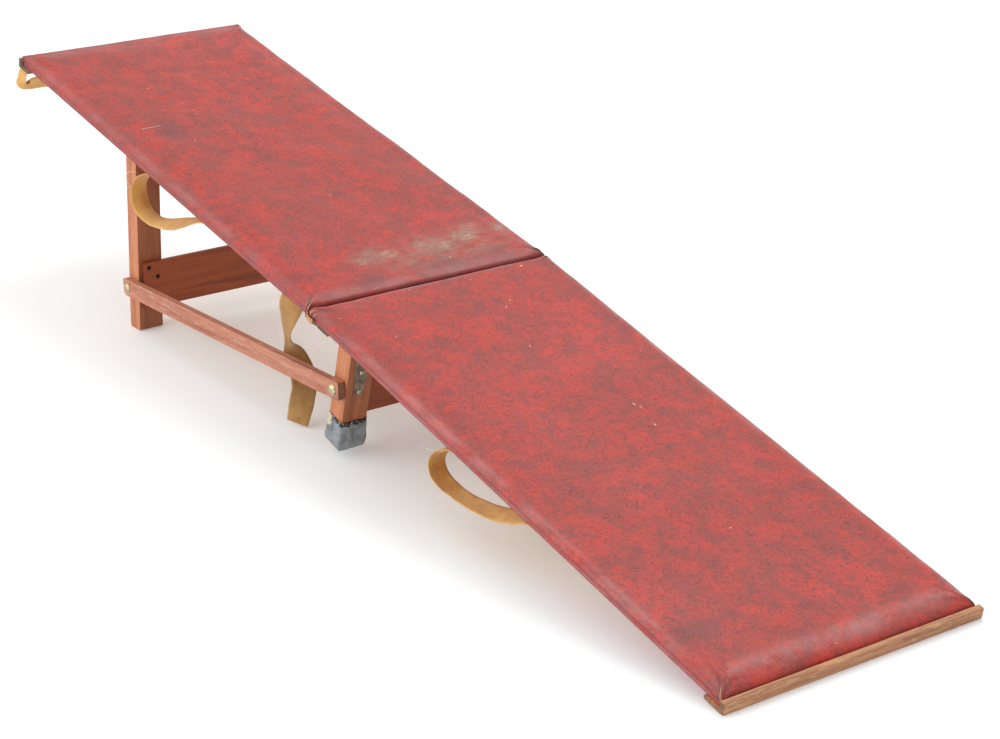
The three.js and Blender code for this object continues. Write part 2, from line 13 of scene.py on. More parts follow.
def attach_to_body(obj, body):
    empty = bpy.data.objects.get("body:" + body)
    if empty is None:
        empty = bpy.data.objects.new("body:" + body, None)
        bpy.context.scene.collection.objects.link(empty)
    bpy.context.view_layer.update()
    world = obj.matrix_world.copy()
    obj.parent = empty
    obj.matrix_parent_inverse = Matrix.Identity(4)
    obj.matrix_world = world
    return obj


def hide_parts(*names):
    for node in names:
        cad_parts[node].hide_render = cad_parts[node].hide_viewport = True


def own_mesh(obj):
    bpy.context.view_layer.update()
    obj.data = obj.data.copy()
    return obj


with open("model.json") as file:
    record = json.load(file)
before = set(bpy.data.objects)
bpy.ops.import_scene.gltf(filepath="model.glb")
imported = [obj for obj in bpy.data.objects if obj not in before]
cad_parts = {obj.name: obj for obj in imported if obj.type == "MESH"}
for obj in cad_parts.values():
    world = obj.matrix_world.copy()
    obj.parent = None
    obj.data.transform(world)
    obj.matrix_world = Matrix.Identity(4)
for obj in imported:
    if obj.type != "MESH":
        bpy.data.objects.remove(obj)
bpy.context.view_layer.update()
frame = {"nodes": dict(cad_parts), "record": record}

SCENE = bpy.context.scene
MM = 0.001
HALF = 905.0  # from the fold to a half's end
HALF_WIDTH = 203.0
THICK = 16.0  # of a half, cover and all
UPPER_TILT = math.radians(10.0)
LOWER_TILT = math.radians(12.1)
PIN_DEPTH = 39.0  # of the fold hinge's pin, below the ridge
REAR_LEAN = math.radians(2.57)
FRONT_LEAN = math.radians(14.35)
LINK_RISE = math.radians(3.59)
BOARD_FALL = 0.19  # of the plywood's grain, in radians, between the two tilts
BED = 17.3  # depth of webbing that lies under a half
WEB_WIDTH, LOOSE_WIDTH, WEB_THICK = 30, 36, 1.9
THREAD_RADIUS = 0.35

joints = {j["name"]: j for j in frame["record"]["behaviour"]["joints"]}
E = Vector(joints["fold_hinge"]["pos_m"])
MIDDLE = (UPPER_TILT + LOWER_TILT) / 2
FOLD = E + PIN_DEPTH * MM * Vector((math.sin(MIDDLE), 0, math.cos(MIDDLE)))


# ---- places: distance from the fold, across, and depth below the top, all in mm ----
def at_all(half, rows):
    tilt, way = (UPPER_TILT, -1) if half == "upper" else (LOWER_TILT, 1)
    s, y, d = np.asarray(rows, float).T * MM
    along = np.stack([way * s * math.cos(tilt) - d * math.sin(tilt), y,
                      -way * s * math.sin(tilt) - d * math.cos(tilt)], 1)
    return along + np.array(FOLD)


def at(half, s, y, d):
    return Vector(at_all(half, [(s, y, d)])[0])


def up_of(half):
    tilt = UPPER_TILT if half == "upper" else LOWER_TILT
    return Vector((math.sin(tilt), 0, math.cos(tilt)))


def add_object(name, data, *materials):
    o = bpy.data.objects.new(name, data)
    SCENE.collection.objects.link(o)
    for material in materials:
        data.materials.append(material)
    return o


# ---- camera ----
CAMERA_FROM_FOLD = Vector((2.6003, -1.7463, 1.1306))
camera_data = bpy.data.cameras.new("camera")
camera_data.lens = 84.61
camera_data.sensor_width = 36
camera = add_object("camera", camera_data)
right = Vector((0.57987, 0.81464, 0.01067)).normalized()
forward = Vector((-0.75268, 0.54069, -0.37565)).normalized()
down = forward.cross(right).normalized()
turn = Matrix((right, -down, -forward)).transposed().to_4x4()
camera.matrix_world = Matrix.Translation(FOLD + CAMERA_FROM_FOLD) @ turn
SCENE.camera = camera
SCENE.view_settings.view_transform = "Standard"


# ---- node materials ----
def lin(r, g, b):
    f = lambda c: c / 12.92 if c <= 0.04045 else ((c + 0.055) / 1.055) ** 2.4
    return (f(r / 255), f(g / 255), f(b / 255), 1)


class Mat:
    """Shader nodes of a new material, or of a world."""

    def __init__(self, name, world=None):
        self.mat = world or bpy.data.materials.new(name)
        self.mat.use_nodes = True
        self.nt = self.mat.node_tree

    def new(self, kind, **props):
        n = self.nt.nodes.new(kind)
        for k, v in props.items():
            setattr(n, k, v)
        return n

    def put(self, socket, value):
        if isinstance(value, bpy.types.NodeSocket):
            self.nt.links.new(value, socket)
        else:
            socket.default_value = value

    def fill(self, node, **values):
        for k, v in values.items():
            self.put(node.inputs[k.replace("_", " ")], v)

    def coords(self, kind="Object"):
        return self.new("ShaderNodeTexCoord").outputs[kind]

    def split(self, vector):
        n = self.new("ShaderNodeSeparateXYZ")
        self.put(n.inputs[0], vector)
        return n.outputs

    def attr(self, name):
        return self.new("ShaderNodeAttribute", attribute_name=name).outputs["Fac"]

    def mapping(self, vector, scale=(1, 1, 1), rot=(0, 0, 0), loc=(0, 0, 0), kind="POINT"):
        n = self.new("ShaderNodeMapping", vector_type=kind)
        self.fill(n, Vector=vector, Scale=scale, Rotation=rot, Location=loc)
        return n.outputs[0]

    def noise(self, vector, scale, detail=4, rough=0.6, distortion=0.0, out="Fac"):
        """Scale is one number, or one for each axis."""
        if isinstance(scale, tuple):
            vector, scale = self.mapping(vector, scale), 1.0
        n = self.new("ShaderNodeTexNoise")
        self.fill(n, Vector=vector, Scale=scale, Detail=detail, Roughness=rough, Distortion=distortion)
        return n.outputs[out]

    def voronoi(self, vector, scale):
        n = self.new("ShaderNodeTexVoronoi")
        self.fill(n, Vector=vector, Scale=scale)
        return n.outputs["Distance"]

    def math(self, op, a, b=0.0):
        n = self.new("ShaderNodeMath", operation=op)
        self.put(n.inputs[0], a)
        self.put(n.inputs[1], b)
        return n.outputs[0]

    def times(self, a, b):
        return self.math("MULTIPLY", a, b)

    def plus(self, a, b):
        return self.math("ADD", a, b)

    def minus(self, a, b):
        return self.math("SUBTRACT", a, b)

    def vec(self, op, a, b=(0, 0, 0)):
        n = self.new("ShaderNodeVectorMath", operation=op)
        self.put(n.inputs[0], a)
        if op == "SCALE":
            self.put(n.inputs["Scale"], b)
            return n.outputs[0]
        self.put(n.inputs[1], b)
        return n.outputs["Value" if op in ("LENGTH", "DOT_PRODUCT") else 0]

    def sway(self, vector, wave, amount):
        """The vector moved about by a colour noise."""
        return self.vec("ADD", vector, self.vec("SCALE", self.vec("SUBTRACT", wave, (0.5, 0.5, 0.5)), amount))

    def ramp(self, fac, stops):
        n = self.new("ShaderNodeValToRGB")
        e = n.color_ramp.elements
        while len(e) < len(stops):
            e.new(0.5)
        for i, (p, c) in enumerate(stops):
            e[i].position = p
            e[i].color = c
        self.put(n.inputs[0], fac)
        return n.outputs[0]

    def span(self, value, lo, hi, out_lo=0.0, out_hi=1.0):
        n = self.new("ShaderNodeMapRange", interpolation_type="SMOOTHSTEP")
        self.fill(n, Value=value, From_Min=lo, From_Max=hi, To_Min=out_lo, To_Max=out_hi)
        return n.outputs[0]

    def mix(self, fac, a, b):
        n = self.new("ShaderNodeMix", data_type="RGBA")
        self.put(n.inputs[0], fac)
        self.put(n.inputs[6], a)
        self.put(n.inputs[7], b)
        return n.outputs[2]

    def tint(self, base, mask, amount, color):
        """The base turned towards a colour of 0 to 255, by an amount, where the mask is 1."""
        return self.mix(self.times(mask, amount), base, lin(*color))

    def bump(self, height, strength, distance, normal=None):
        n = self.new("ShaderNodeBump")
        self.fill(n, Height=height, Strength=strength, Distance=distance)
        if normal is not None:
            self.put(n.inputs["Normal"], normal)
        return n.outputs[0]

    def blob(self, vector, centre, radii, full):
        """1 out to the full share of the radii from a centre, falling to 0 at the radii."""
        moved = self.vec("SUBTRACT", vector, tuple(centre))
        share = self.vec("MULTIPLY", moved, tuple(1 / r for r in radii))
        return self.span(self.vec("LENGTH", share), 1.0, full)

    def finish(self, color, rough, metallic=0.0, normal=None, **extra):
        bsdf = self.nt.nodes["Principled BSDF"]
        self.fill(bsdf, Base_Color=color, Roughness=rough, Metallic=metallic, **extra)
        if normal is not None:
            self.put(bsdf.inputs["Normal"], normal)
        return self.mat


def fibres(m, vector, turn, seed, low, high):
    """Threads that run one way, 1 on a thread and 0 between; each is about 2 mm by 9 mm."""
    v = m.mapping(vector, (1 / 105, 1 / 430, 1 / 300), (0, 0, turn), (seed, seed * 0.7, 0), "TEXTURE")
    return m.span(m.noise(v, 1.0, 4, 0.68, 0.6), low, high)


def any_of(m, masks):
    out = masks[0]
    for mask in masks[1:]:
        out = m.math("MAXIMUM", out, mask)
    return out


def spots(m, vector, half, rows, thick=0.06, full=0.15):
    """1 in soft patches of a half's top; each row is s, y and how far it reaches both ways, in mm."""
    return any_of(m, [m.blob(vector, at(half, s, y, 0), (reach_s * MM, reach_y * MM, thick), full)
                      for s, y, reach_s, reach_y in rows])


# places on the two halves: s, y and reach both ways
WASHED = [(80, 58, 56, 84), (84, -42, 40, 62), (92, 124, 46, 56), (52, 60, 52, 160), (88, 182, 30, 30)]
WORN = [(88, 117, 26, 34), (76, 69, 22, 26), (85, 44, 18, 26), (83, -18, 16, 22), (75, -69, 10, 14),
        (108, 140, 16, 22), (90, 182, 12, 14)]
SOILED = [(24, 40, 34, 70), (18, 130, 34, 70), (26, -90, 34, 50), (560, -110, 60, 46)]
SOILED_LOWER = [(803, -153, 50, 60)]
NICKS = [(516, -97, 1.6, 1.6), (715, -74, 1.5, 1.5), (40, 59, 1.6, 1.6)]
NICKS_LOWER = [(20, 143, 2.2, 3.0), (96, 70, 1.5, 1.5), (110, 54, 1.6, 1.6), (208, 25, 1.8, 1.5),
               (435, 67, 3.2, 1.4), (393, 75, 1.8, 1.2), (384, 71, 3.6, 1.4)]
DARK_FIBRES = ((0.35, 1.0), (-0.75, 5.0), (1.45, 9.0))  # turn in radians and seed
RED_FIBRES = ((0.0, 13.0), (0.9, 17.0))


def vinyl_material():
    """Mottled red vinyl: clouds with red and dark fibres, faded, scuffed and soiled places, pale nicks, a
    painted sheen on rubbed edges, and painted shade.
    """
    m = Mat("red_vinyl")
    v = m.coords()
    x = m.split(v)[0]
    w = m.sway(v, m.noise(v, 38.0, 2, 0.5, out="Color"), 0.012)
    dark = any_of(m, [fibres(m, w, turn, seed, 0.54, 0.68) for turn, seed in DARK_FIBRES])
    hot = any_of(m, [fibres(m, w, turn, seed, 0.52, 0.66) for turn, seed in RED_FIBRES])
    cloud = m.span(m.noise(w, 30.0, 5, 0.68), 0.36, 0.66)
    wide = m.span(m.noise(v, 5.0, 4, 0.6), 0.36, 0.66)
    grit = m.noise(v, 520.0, 3, 0.7)
    c = m.mix(cloud, lin(153, 59, 52), lin(198, 55, 40))
    c = m.tint(c, hot, m.plus(0.36, m.times(cloud, 0.54)), (230, 46, 22))
    c = m.tint(c, dark, m.plus(0.32, m.times(grit, 0.86)), (88, 38, 38))
    # the head half has faded more than the foot half
    c = m.tint(c, wide, m.span(x, FOLD.x + 0.12, FOLD.x - 0.02, 0.16, 0.36), (150, 78, 70))
    # grey scuffs on the head half by the fold, worn through to the cloth
    blotch = m.span(m.noise(v, (70, 34, 60), 6, 0.76), 0.36, 0.62)
    c = m.tint(c, m.times(spots(m, v, "upper", WASHED), blotch), 0.82, (160, 118, 102))
    rubbed = m.span(m.noise(v, (150, 75, 90), 6, 0.74), 0.38, 0.66)
    c = m.tint(c, m.times(spots(m, v, "upper", WORN), rubbed), 0.86, (180, 154, 132))
    soil = any_of(m, [spots(m, v, "upper", SOILED), spots(m, v, "lower", SOILED_LOWER)])
    c = m.tint(c, soil, 0.42, (104, 62, 64))
    # rubbed edges go pale and pink, with a painted sheen on the rolled edges that is brighter on the foot half
    rub_and_sheen = m.times(m.attr("wear"), m.span(m.noise(v, (16, 26, 60), 4, 0.6), 0.22, 0.66))
    pale = m.mix(m.span(x, FOLD.x, FOLD.x + 0.25), lin(170, 118, 116), lin(200, 146, 144))
    c = m.mix(m.times(rub_and_sheen, 0.74), c, pale)
    c = m.tint(c, m.attr("shade"), 0.72, (70, 30, 32))
    # small pale nicks, and the ones that stand out
    gate = m.span(m.noise(v, 17.0, 1, 0.5), 0.56, 0.62)
    nicks = any_of(m, [m.times(m.math("LESS_THAN", m.voronoi(v, 30.0), 0.035), gate),
                       spots(m, v, "upper", NICKS, 0.125, 0.7), spots(m, v, "lower", NICKS_LOWER, 0.125, 0.7)])
    c = m.tint(c, nicks, 0.85, (218, 188, 166))
    c = m.mix(m.attr("raw"), c, lin(214, 168, 124))
    rough = m.plus(m.plus(0.36, m.times(dark, 0.10)), m.times(wide, 0.10))
    mottle = m.bump(m.minus(cloud, dark), 0.05, 0.0005)
    grain = m.bump(m.plus(m.noise(v, 900.0, 3, 0.6), m.voronoi(v, 620.0)), 0.14, 0.0004, mottle)
    return m.finish(c, rough, 0, grain, Specular_IOR_Level=0.38, Sheen_Weight=0.03, Sheen_Roughness=0.4)


def darker(color, share):
    return tuple(int(k * share) for k in color)


def wood_material(name, light, mid, dark, axis, seed=0.0, wear=None, wear_amount=0.0, ring=1.0, rough=0.55,
                  contrast=1.0, painted_inner_shade=0.0):
    """Grain runs along axis, a unit vector in the row frame; the inner shade amount paints shade on the faces
    turned to +X.
    """
    m = Mat(name)
    facing = m.coords("Normal")
    turn = Vector(axis).rotation_difference(Vector((1, 0, 0))).to_euler()
    v = m.mapping(m.coords(), (1, 1, 1), tuple(turn), (seed, seed * 0.37, seed * 0.71))
    w = m.sway(v, m.noise(v, (4, 9, 9), 3, 0.5, out="Color"), 0.010)
    rings = m.noise(w, (5 * ring, 95 * ring, 95 * ring), 3, 0.55, 0.8)
    fine = m.noise(w, (30, 900, 900), 4, 0.7)
    pore = m.span(m.noise(w, (60, 1500, 1500), 2, 0.5), 0.60, 0.70)
    c = m.ramp(rings, [(0.30, lin(*dark)), (0.46, lin(*mid)), (0.60, lin(*light)), (0.80, lin(*mid))])
    c = m.tint(c, m.span(fine, 0.35, 0.65), 0.35 * contrast, dark)
    c = m.tint(c, pore, 0.45 * contrast, darker(dark, 0.55))
    c = m.tint(c, m.span(m.noise(v, 16.0, 3, 0.6), 0.45, 0.7), 0.25, mid)
    if wear:
        scratch = m.noise(w, (22, 260, 260), 5, 0.75, 1.6)
        c = m.tint(c, m.span(scratch, 0.50, 0.66), wear_amount, wear)
    grime = m.span(m.noise(v, 60.0, 5, 0.7), 0.60, 0.80)
    c = m.tint(c, grime, 0.35, (70, 46, 34))
    cut = m.span(m.math("ABSOLUTE", m.vec("DOT_PRODUCT", facing, tuple(axis))), 0.70, 0.90)
    c = m.tint(c, cut, 0.60, darker(dark, 0.50))
    # painted shade on the faces turned to +X, which face in under the board
    if painted_inner_shade:
        inner = m.span(m.vec("DOT_PRODUCT", facing, (1, 0, 0)), 0.60, 0.90)
        c = m.tint(c, inner, painted_inner_shade, (dark[0] * 0.74, dark[1] * 0.68, dark[2] * 0.52))
    height = m.plus(fine, m.times(rings, 0.6))
    return m.finish(c, m.plus(rough, m.times(fine, 0.15)), 0, m.bump(height, 0.22, 0.0006))


def metal_material(name, light, dark, rough, scale=120.0, spots=0.3, metallic=0.9):
    m = Mat(name)
    v = m.coords()
    a = m.noise(v, scale, 5, 0.65)
    b = m.noise(v, (900, 90, 900), 4, 0.7)
    c = m.mix(m.span(a, 0.35, 0.68), lin(*light), lin(*dark))
    c = m.tint(c, m.span(m.noise(v, scale * 4, 3, 0.6), 0.60, 0.72), spots, darker(dark, 0.4))
    return m.finish(c, m.plus(rough, m.times(b, 0.25)), metallic, m.bump(m.plus(a, b), 0.12, 0.0003))


RIB, PICK = 0.00125, 0.0021  # pitch of the weave across and along the strap


def webbing_material(name, light, dark, width, darker_below=None):
    """Woven cotton, ribs along the strap and picks across it, from the strap's own map in metres."""
    m = Mat(name)
    u, v, _ = m.split(m.coords("UV"))
    ribs = m.math("SINE", m.times(u, 2 * math.pi / RIB))
    shift = m.times(m.math("FLOOR", m.times(u, 1 / RIB)), math.pi)
    picks = m.math("SINE", m.plus(m.times(v, 2 * math.pi / PICK), shift))
    weave = m.times(m.math("ABSOLUTE", ribs), m.plus(0.6, m.times(picks, 0.4)))
    obj = m.coords()
    c = m.mix(m.span(m.noise(obj, 26.0, 5, 0.65), 0.35, 0.65), lin(*light), lin(*dark))
    c = m.tint(c, m.minus(1.0, weave), 0.35, darker(dark, 0.62))
    c = m.tint(c, m.span(m.noise(obj, 60.0, 5, 0.7), 0.52, 0.75), 0.35, (120, 84, 44))
    # darker towards the bottom of the strap
    if darker_below:
        low = m.span(m.split(obj)[2], darker_below, darker_below - 0.08, 0.0, 0.42)
        c = m.mix(low, c, lin(126, 84, 44))
    off_middle = m.math("ABSOLUTE", m.minus(u, width / 2))
    c = m.tint(c, m.span(off_middle, width / 2 - 0.0022, width / 2 - 0.0012), 0.25, (226, 190, 128))
    fuzz = m.noise(obj, 1500.0, 2, 0.5)
    n = m.bump(m.plus(weave, m.times(fuzz, 0.4)), 0.55, 0.0005)
    return m.finish(c, 0.9, 0, n, Sheen_Weight=0.25, Sheen_Roughness=0.5)


def vinyl_edge_material():
    """A folded pleat of the cover: red on its face, then the cream raw edge, then the slit beyond in painted
    shade.
    """
    m = Mat("vinyl_raw_edge")
    obj = m.coords()
    ragged = m.times(m.minus(m.noise(obj, 700.0, 3, 0.6), 0.5), 0.25)
    across = m.plus(m.split(m.coords("UV"))[0], ragged)
    red = m.mix(m.noise(obj, 420.0, 4, 0.6), lin(132, 60, 60), lin(190, 92, 88))
    cream = m.mix(m.noise(obj, 700.0, 3, 0.6), lin(224, 186, 138), lin(164, 112, 76))
    c = m.mix(m.span(across, 0.62, 0.70), red, cream)
    # painted shade in the slit beyond the raw edge
    c = m.mix(m.span(across, 0.84, 0.92), c, lin(50, 24, 24))
    return m.finish(c, 0.55, 0, m.bump(m.noise(obj, 800.0, 4, 0.6), 0.3, 0.0004))


def tape_material():
    """Grey cloth tape, creased, with painted shade in its creases, a torn dark top edge and a pale remnant."""
    m = Mat("tape_cloth")
    v = m.coords()
    a = m.noise(v, 45.0, 5, 0.65, 0.6)
    crease = m.math("ABSOLUTE", m.minus(m.noise(v, (90, 90, 260), 3, 0.6), 0.5))
    c = m.mix(m.span(a, 0.35, 0.66), lin(150, 157, 162), lin(108, 113, 117))
    # painted shade along the creases
    c = m.tint(c, m.span(crease, 0.02, 0.0), 0.45, (62, 64, 68))
    c = m.tint(c, m.span(m.noise(v, 160.0, 4, 0.7), 0.58, 0.72), 0.25, (184, 188, 190))
    bead = m.span(m.voronoi(v, 330.0), 0.10, 0.45)
    c = m.mix(m.attr("torn"), c, m.mix(bead, lin(214, 216, 214), lin(22, 22, 24)))
    c = m.mix(m.attr("remnant"), c, m.mix(m.noise(v, 300.0, 4, 0.6), lin(232, 220, 188), lin(176, 160, 128)))
    threads = m.noise(v, (1400, 1400, 300), 2, 0.5)
    n = m.bump(m.plus(threads, m.times(crease, 6.0)), 0.35, 0.0007)
    return m.finish(c, m.plus(0.34, m.times(a, 0.3)), 0.15, n)


def plain_noise_material(name, light, dark, scale, rough, bump=0.3):
    m = Mat(name)
    v = m.coords()
    a = m.noise(v, scale, 6, 0.65)
    f = m.noise(v, scale * 12, 3, 0.6)
    c = m.mix(m.span(a, 0.35, 0.65), lin(*light), lin(*dark))
    c = m.tint(c, m.span(f, 0.5, 0.75), 0.4, darker(dark, 0.6))
    return m.finish(c, rough, 0, m.bump(f, bump, 0.0006))


def leaning(angle):
    return Vector((math.sin(angle), 0, math.cos(angle)))


ACROSS = (0, 1, 0)
FRONT_AXIS = leaning(FRONT_LEAN)
ALONG_LINK = leaning(math.pi / 2 - LINK_RISE)
ALONG_BOARD = leaning(math.pi / 2 + BOARD_FALL)
VINYL = vinyl_material()
LEG_REAR = wood_material("wood_leg_rear", (210, 133, 90), (190, 115, 75), (150, 82, 52), leaning(REAR_LEAN),
                         0.3, (218, 164, 130), 0.30, ring=0.7, painted_inner_shade=0.55)
LEG_FRONT = wood_material("wood_leg_front", (204, 132, 86), (188, 113, 70), (150, 82, 48), FRONT_AXIS, 1.3,
                          (220, 164, 124), 0.22, ring=0.7, painted_inner_shade=0.40)
LINK = wood_material("wood_link", (194, 126, 98), (180, 110, 82), (146, 82, 60), ALONG_LINK, 2.1,
                     (206, 168, 150), 0.70, ring=0.55, contrast=0.6)
RAIL = wood_material("wood_rail", (216, 158, 114), (190, 128, 92), (134, 84, 60), ACROSS, 3.7,
                     (226, 190, 140), 0.6, ring=0.8, rough=0.62)
RAIL_HEAD = wood_material("wood_rail_head", (172, 134, 112), (144, 108, 90), (98, 70, 58), ACROSS, 5.2,
                          (188, 160, 140), 0.4, ring=0.8, rough=0.7)
CROSSBAR = wood_material("wood_crossbar", (170, 82, 34), (148, 66, 26), (104, 46, 18), ACROSS, 4.4,
                         (168, 96, 62), 0.2, ring=0.5, rough=0.42, contrast=0.6)
BATTEN = wood_material("wood_batten", (176, 144, 110), (146, 114, 84), (96, 72, 52), ACROSS, 6.0,
                       (196, 172, 140), 0.4, rough=0.75)
PLY = wood_material("plywood", (214, 176, 128), (192, 150, 100), (150, 110, 70), ALONG_BOARD, 7.0,
                    (222, 190, 146), 0.3, ring=0.35, rough=0.75)
HINGE = metal_material("hinge_steel", (150, 138, 122), (104, 92, 80), 0.46, 90.0, 0.5, 0.55)
BRASS = metal_material("brass_screw", (222, 212, 176), (162, 148, 104), 0.24, 300.0, 0.5, 0.85)
DARK_SCREW = metal_material("dark_screw", (62, 44, 36), (34, 25, 22), 0.5, 300.0, 0.4, 0.7)
STAPLE = metal_material("staple_steel", (150, 146, 140), (96, 84, 74), 0.4, 200.0, 0.5, 0.9)
WEBBING = webbing_material("webbing_30", (248, 194, 108), (232, 166, 84), WEB_WIDTH * MM)
WEBBING_LOOSE = webbing_material("webbing_34", (226, 176, 104), (196, 144, 76), LOOSE_WIDTH * MM, 0.19)
VINYL_EDGE = vinyl_edge_material()
TAPE = tape_material()
FOAM = plain_noise_material("foam", (206, 176, 104), (170, 134, 70), 90.0, 0.95)
THREAD = plain_noise_material("thread", (236, 228, 208), (206, 190, 160), 400.0, 0.9)
BACKING = plain_noise_material("cloth_backing", (214, 160, 112), (176, 118, 74), 300.0, 0.9)


# ---- making pieces ----
def fix_normals(o, merge=False):
    bm = bmesh.new()
    bm.from_mesh(o.data)
    if merge:
        bmesh.ops.remove_doubles(bm, verts=bm.verts, dist=1e-6)
    bmesh.ops.recalc_face_normals(bm, faces=bm.faces)
    bm.to_mesh(o.data)
    bm.free()


def make(name, verts, faces, *materials):
    mesh = bpy.data.meshes.new(name)
    mesh.from_pydata([tuple(v) for v in verts], [], faces)
    mesh.validate()
    mesh.shade_smooth()
    o = add_object(name, mesh, *materials)
    fix_normals(o)
    return o


def ring_faces(rings, sides):
    """Quads between each ring of points and the next."""
    return [[k * sides + a, k * sides + b, (k + 1) * sides + b, (k + 1) * sides + a]
            for k in range(rings - 1) for a, b in zip(range(sides), [*range(1, sides), 0])]


def end_faces(rings, sides):
    return [[base + a for a in range(sides)] for base in (0, (rings - 1) * sides)]


def band_faces(rings, across):
    """A closed flat band: each ring has this many points on top and as many back underneath."""
    size = 2 * across
    return ring_faces(rings, size) + [[base + k, base + k + 1, base + size - 2 - k, base + size - 1 - k]
                                      for base in (0, (rings - 1) * size) for k in range(across - 1)]


def set_uv(o, uvs):
    layer = o.data.uv_layers.new(name="UVMap")
    for loop in o.data.loops:
        layer.data[loop.index].uv = uvs[loop.vertex_index]


def attach(o, body, slot, *nodes):
    """The body a piece rides on, its material slot, which is not used, and the CAD nodes it stands for."""
    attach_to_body(o, body)
    if nodes:
        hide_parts(*nodes)


def attribute(o, name, values):
    a = o.data.attributes.new(name, "FLOAT", "POINT")
    a.data.foreach_set("value", np.asarray(values, np.float32))


def apply_modifiers(o):
    bpy.context.view_layer.update()
    depsgraph = bpy.context.evaluated_depsgraph_get()
    mesh = bpy.data.meshes.new_from_object(o.evaluated_get(depsgraph), preserve_all_data_layers=True,
                                           depsgraph=depsgraph)
    o.modifiers.clear()
    o.data = mesh


def smooth_noise(x, y, scale, seed):
    return noise.noise(Vector((x / scale + seed, y / scale - seed * 1.7, seed * 2.3)))


def falloff(gap, reach):
    return math.exp(-(gap / reach) ** 2)


# ---- padded covers ----
def graded(length, fine, coarse, span):
    """Distances from 0 to length: fine steps in the first and last span, coarser between."""
    n = max(1, round(span / fine))
    edge = [span * i / n for i in range(n + 1)]
    middle = length - 2 * span
    k = max(1, round(middle / coarse))
    inner = [span + middle * i / k for i in range(1, k)]
    return edge + inner + [length - e for e in reversed(edge)]


ROLL, FOLD_ROLL, END_ROLL = 9.0, 10.0, 15.0  # how far from each edge the top starts to fall
ROLL_DROP = 7.8
HEM = 55.0  # how far the cover runs in under the board
HEAD_OVERHANG = 6.5
FINE, COARSE, EDGE_SPAN = 2.4, 8.5, 36.0  # mesh steps, and how far in from an edge they stay fine
PUFF = 4.0  # the most that the pad swells
SIM_FRAMES = 14


def edge_fall(gap, reach):
    """How far a cover's top has dropped at a distance from its edge, as a quarter of an ellipse."""
    near = max(0.0, 1 - gap / reach)
    return ROLL_DROP * (1 - math.sqrt(max(0.0, 1 - near ** 2)))


def cover_mesh():
    """The cover before it swells, as (s, y, depth) points in mm and faces."""
    length, width = HALF - 1.0, 2 * HALF_WIDTH
    s_lines = graded(length, FINE, COARSE, EDGE_SPAN)
    y_lines = graded(width, FINE, COARSE, EDGE_SPAN)
    ns, ny = len(s_lines), len(y_lines)

    def outline(s, t, inset):
        """A point of the plan pulled in by inset and rounded at its corners."""
        r = 2.5
        s = inset + s * (length - 2 * inset) / length
        t = inset + t * (width - 2 * inset) / width
        cs = min(max(s, r), length - r)
        ct = min(max(t, r), width - r)
        ds, dt = s - cs, t - ct
        far = math.hypot(ds, dt)
        reach = max(abs(ds), abs(dt))
        if far > 1e-9 and ds != 0 and dt != 0:
            k = reach / far
            ds, dt = ds * k, dt * k
        return 1.0 + cs + ds, ct + dt - HALF_WIDTH

    points, index = [], {}

    def put(key, p):
        index[key] = len(points)
        points.append(p)

    for i, s in enumerate(s_lines):
        for j, t in enumerate(y_lines):
            drop = max(edge_fall(s, FOLD_ROLL), edge_fall(length - s, END_ROLL),
                       edge_fall(min(t, width - t), ROLL))
            a, b = outline(s, t, 0.0)
            put(("t", i, j), (a, b, drop + 0.6))
            a, b = outline(s, t, 1.0)
            put(("b", i, j), (a, b, THICK - 0.2))
    ring = [(i, 0) for i in range(ns)] + [(ns - 1, j) for j in range(1, ny)]
    ring += [(i, ny - 1) for i in range(ns - 2, -1, -1)] + [(0, j) for j in range(ny - 2, 0, -1)]
    levels = [(9.4, 0.1), (9.9, 1.5), (11.0, 1.8), (13.4, 1.7), (15.0, 1.2)]
    for k, (d, inset) in enumerate(levels):
        for i, j in ring:
            a, b = outline(s_lines[i], y_lines[j], inset)
            put((k, i, j), (a, b, d))
    faces = []
    for i in range(ns - 1):
        for j in range(ny - 1):
            square = [(i, j), (i + 1, j), (i + 1, j + 1), (i, j + 1)]
            faces.append([index["t", *spot] for spot in square])
            faces.append([index["b", *spot] for spot in square[::-1]])
    order = ["t"] + list(range(len(levels))) + ["b"]
    for upper_key, lower_key in zip(order, order[1:]):
        for n in range(len(ring)):
            p, q = ring[n], ring[(n + 1) % len(ring)]
            faces.append([index[key, *spot] for key, spot in (
                (upper_key, p), (lower_key, p), (lower_key, q), (upper_key, q))])
    return np.array(points), faces


def inflate(name, local, faces):
    """How far each point moves, in mm, as the pad presses out against its cover in a cloth simulation."""
    mesh = bpy.data.meshes.new(name + "_sim")
    mesh.from_pydata([tuple(p * MM) for p in local], [], faces)
    o = add_object(name + "_sim", mesh)
    fix_normals(o)
    group = o.vertex_groups.new(name="held")
    weight = np.clip((local[:, 2] - 11.0) / 3.0, 0, 1)
    for i, w in enumerate(weight):
        if w > 0:
            group.add([i], float(w), "REPLACE")
    cloth = o.modifiers.new("cloth", "CLOTH")
    c = cloth.settings
    c.quality = 4
    c.mass = 0.3
    c.tension_stiffness = c.compression_stiffness = 12
    c.shear_stiffness = 6
    c.bending_stiffness = 0.6
    c.use_pressure = True
    c.uniform_pressure_force = 4
    c.vertex_group_mass = "held"
    c.effector_weights.gravity = 0
    cloth.collision_settings.use_collision = False
    cloth.point_cache.frame_start = 1
    cloth.point_cache.frame_end = SIM_FRAMES
    for f in range(1, SIM_FRAMES + 1):
        SCENE.frame_set(f)
        bpy.context.view_layer.update()
    got = o.evaluated_get(bpy.context.evaluated_depsgraph_get())
    out = np.empty(len(got.data.vertices) * 3)
    got.data.vertices.foreach_get("co", out)
    moved = out.reshape(-1, 3) / MM - local
    SCENE.frame_set(1)
    bpy.data.objects.remove(o)
    return moved


